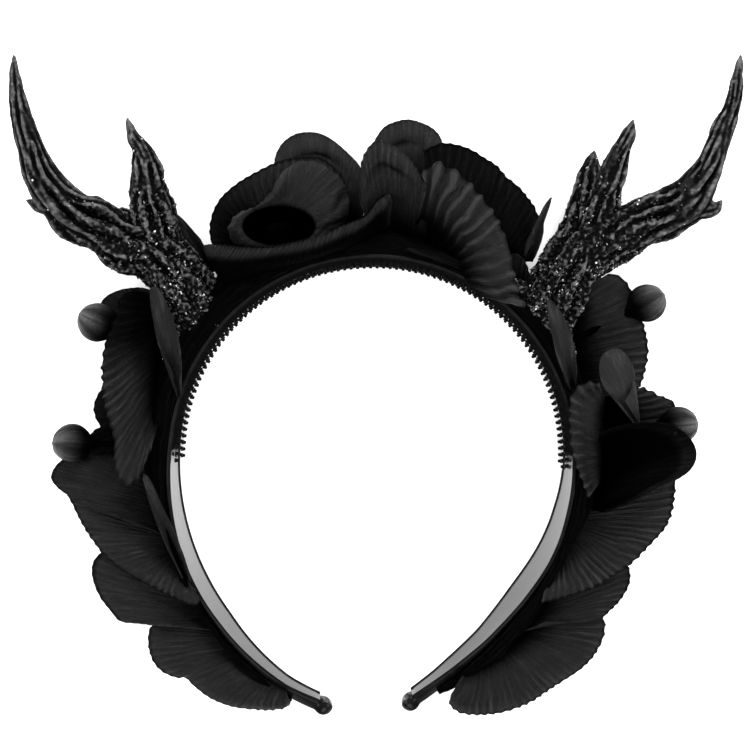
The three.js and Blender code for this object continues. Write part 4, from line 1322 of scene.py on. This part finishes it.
def make_leaf(row, number):
    points, ray, painted_shading = fan(LEAF_FORM | row, 26, 41, rib=1.6)
    leaf, _, _ = sheet_piece("cloth_leaf_" + row["name"], points, ray, painted_shading, {
        "Pleats": 3.0, "Depth": 0.12 * MM, "Scallop": 0.0, "Ruffle": 0.6 * MM, "Seed": 50 + number * 1.3,
    }, LEAF_CLOTH)
    return dress(leaf, LEAF_CLOTH, "fabric", "leaf_" + row["name"])


# How much larger than its hard core a bud's cloth is.
BUD_PUFF = 1.09
# The ball's outline: place along its axis and thickness, both over its radius.
BUD_PROFILE = [
    (-0.96, 0.42), (-0.75, 0.66), (-0.4, 0.92), (0.0, 1.0), (0.45, 0.88), (0.85, 0.5), (1.0, 0.0),
]


def bud_frame(row):
    """Where a bud's root sits on the band, with the ways along its stem, across it and out of its face."""
    place = station(row["at"])
    origin = over_band(place, -ROOT_SINK, BUD_UP)
    turn = math.radians(row["turn"])
    lean = math.radians(BUD_LEAN)
    level = place["out"] * math.cos(turn) + place["tipward"] * math.sin(turn)
    across = place["tipward"] * math.cos(turn) - place["out"] * math.sin(turn)
    axis = level * math.cos(lean) + UP * math.sin(lean)
    face = UP * math.cos(lean) - level * math.sin(lean)
    return origin, axis, across, face


def make_bud(row, number):
    """A round cloth bud with gathered seams, its neck of sepals and its wired stem."""
    radius = BUD_DIAMETER / 2 * BUD_PUFF
    reach = BUD_REACH * row["long"]
    stem = STEM_DIAMETER / 2
    origin, axis, across, face = bud_frame(row)
    profile = [(0.0, stem), (reach - 1.5 * radius, stem), (reach - 1.3 * radius, 0.22 * radius)]
    profile += [(reach + away * radius, thick * radius) for away, thick in BUD_PROFILE]
    line = smooth_line(profile, 70)
    sides = 60
    rings = []
    crest_light = []
    for far, thick in line:
        thick = max(thick, 0.05)
        ball = min(max((far - reach + radius) / (0.8 * radius), 0), 1)
        for j in range(sides):
            turn = 2 * math.pi * j / sides
            seam = abs(math.cos(2.5 * turn + 0.35 * (far - reach) / radius + number)) ** 0.5
            size = thick * (1 - 0.16 * ball * (1 - seam))
            crest_light.append(seam * 2 - 1)
            rings.append(origin + axis * far + size * (math.cos(turn) * face + math.sin(turn) * across))
    bud = new_mesh("cloth_bud_" + row["name"], rings, tube_faces(len(line), sides))
    outward(bud)
    # The seams are painted darker and the gathers between them lighter, as painted shade and light.
    float_attribute(bud, "crest_light", crest_light)
    # Painted shade: the stem and the ball's stem side are dark, and the ball grows lighter towards its outer
    # end.
    far = np.repeat(line[:, 0], sides)
    lit = np.clip((far - reach + 0.7 * radius) / (1.5 * radius), 0, 1)
    float_attribute(bud, "painted_shading", 0.015 + 1.1 * lit ** 2.2)
    round_it = np.tile(np.arange(sides) * BUD_DIAMETER * math.pi / sides, len(line))
    cloth_maps(bud, (round_it, far), (round_it, far))
    return dress(bud, BUD_CLOTH, "bud", "bud_" + row["name"])


# Camera, light and floor

# Soft boxes: name, place in metres, size in metres, power in watts.
LAMPS = (
    ("left", (-1.3, -0.1, 0.85), 0.9, 38),
    ("right", (1.3, -0.05, 0.85), 0.9, 34),
    ("top", (0.1, 1.3, 0.9), 0.9, 46),
    ("bottom", (0.0, -1.3, 0.85), 0.9, 30),
    ("overhead", (0.0, -0.1, 1.5), 1.0, 14),
)
WORLD_LIGHT = 0.25
FLOOR_HALF = 3000


def make_camera():
    camera = linked("camera", bpy.data.cameras.new("camera"))
    camera.data.lens = 57.6
    camera.data.sensor_width = 36
    camera.data.clip_start = 0.01
    place = Vector(EYE) * MM
    back = (place - Vector(EYE_TARGET) * MM).normalized()
    right = Vector((0, 1, 0)).cross(back).normalized()
    camera.location = place
    camera.rotation_euler = Matrix((right, back.cross(right), back)).transposed().to_euler()
    bpy.context.scene.camera = camera


def make_stage():
    scene = bpy.context.scene
    half = FLOOR_HALF
    corners = [(-half, -half, 0), (half, -half, 0), (half, half, 0), (-half, half, 0)]
    floor = new_mesh("floor", corners, [(0, 1, 2, 3)])
    paper, tree, shader = material("white_paper")
    grain = object_noise(tree, 40, 3, 0.5)
    wire(tree, shader, {"Base Color": ramp(tree, grain, [(0.3, 0.78), (0.7, 0.8)]), "Roughness": 0.9})
    floor.data.materials.append(paper)

    world = bpy.data.worlds.new("studio")
    world.use_nodes = True
    background = world.node_tree.nodes["Background"]
    wire(world.node_tree, background, {"Color": (1, 1, 1, 1), "Strength": WORLD_LIGHT})
    scene.world = world
    for name, place, size, power in LAMPS:
        light = linked(name, bpy.data.lights.new(name, "AREA"))
        light.data.size = size
        light.data.energy = power
        light.location = place
        light.rotation_euler = (-Vector(place)).to_track_quat("-Z", "Y").to_euler()
    scene.view_settings.view_transform = "Standard"


make_camera()
make_stage()
make_band()
make_comb()
make_antler("left", LEFT_SEAT, LEFT_BRANCHES, 1.3)
make_antler("right", RIGHT_SEAT, RIGHT_BRANCHES, 4.7)
for number, row in enumerate(PETALS):
    make_petal(row, number)
make_cup(len(PETALS))
make_lip(len(PETALS) + 1)
make_roots()
for number, row in enumerate(LEAVES):
    make_leaf(row, number)
for number, row in enumerate(BUDS):
    make_bud(row, number)
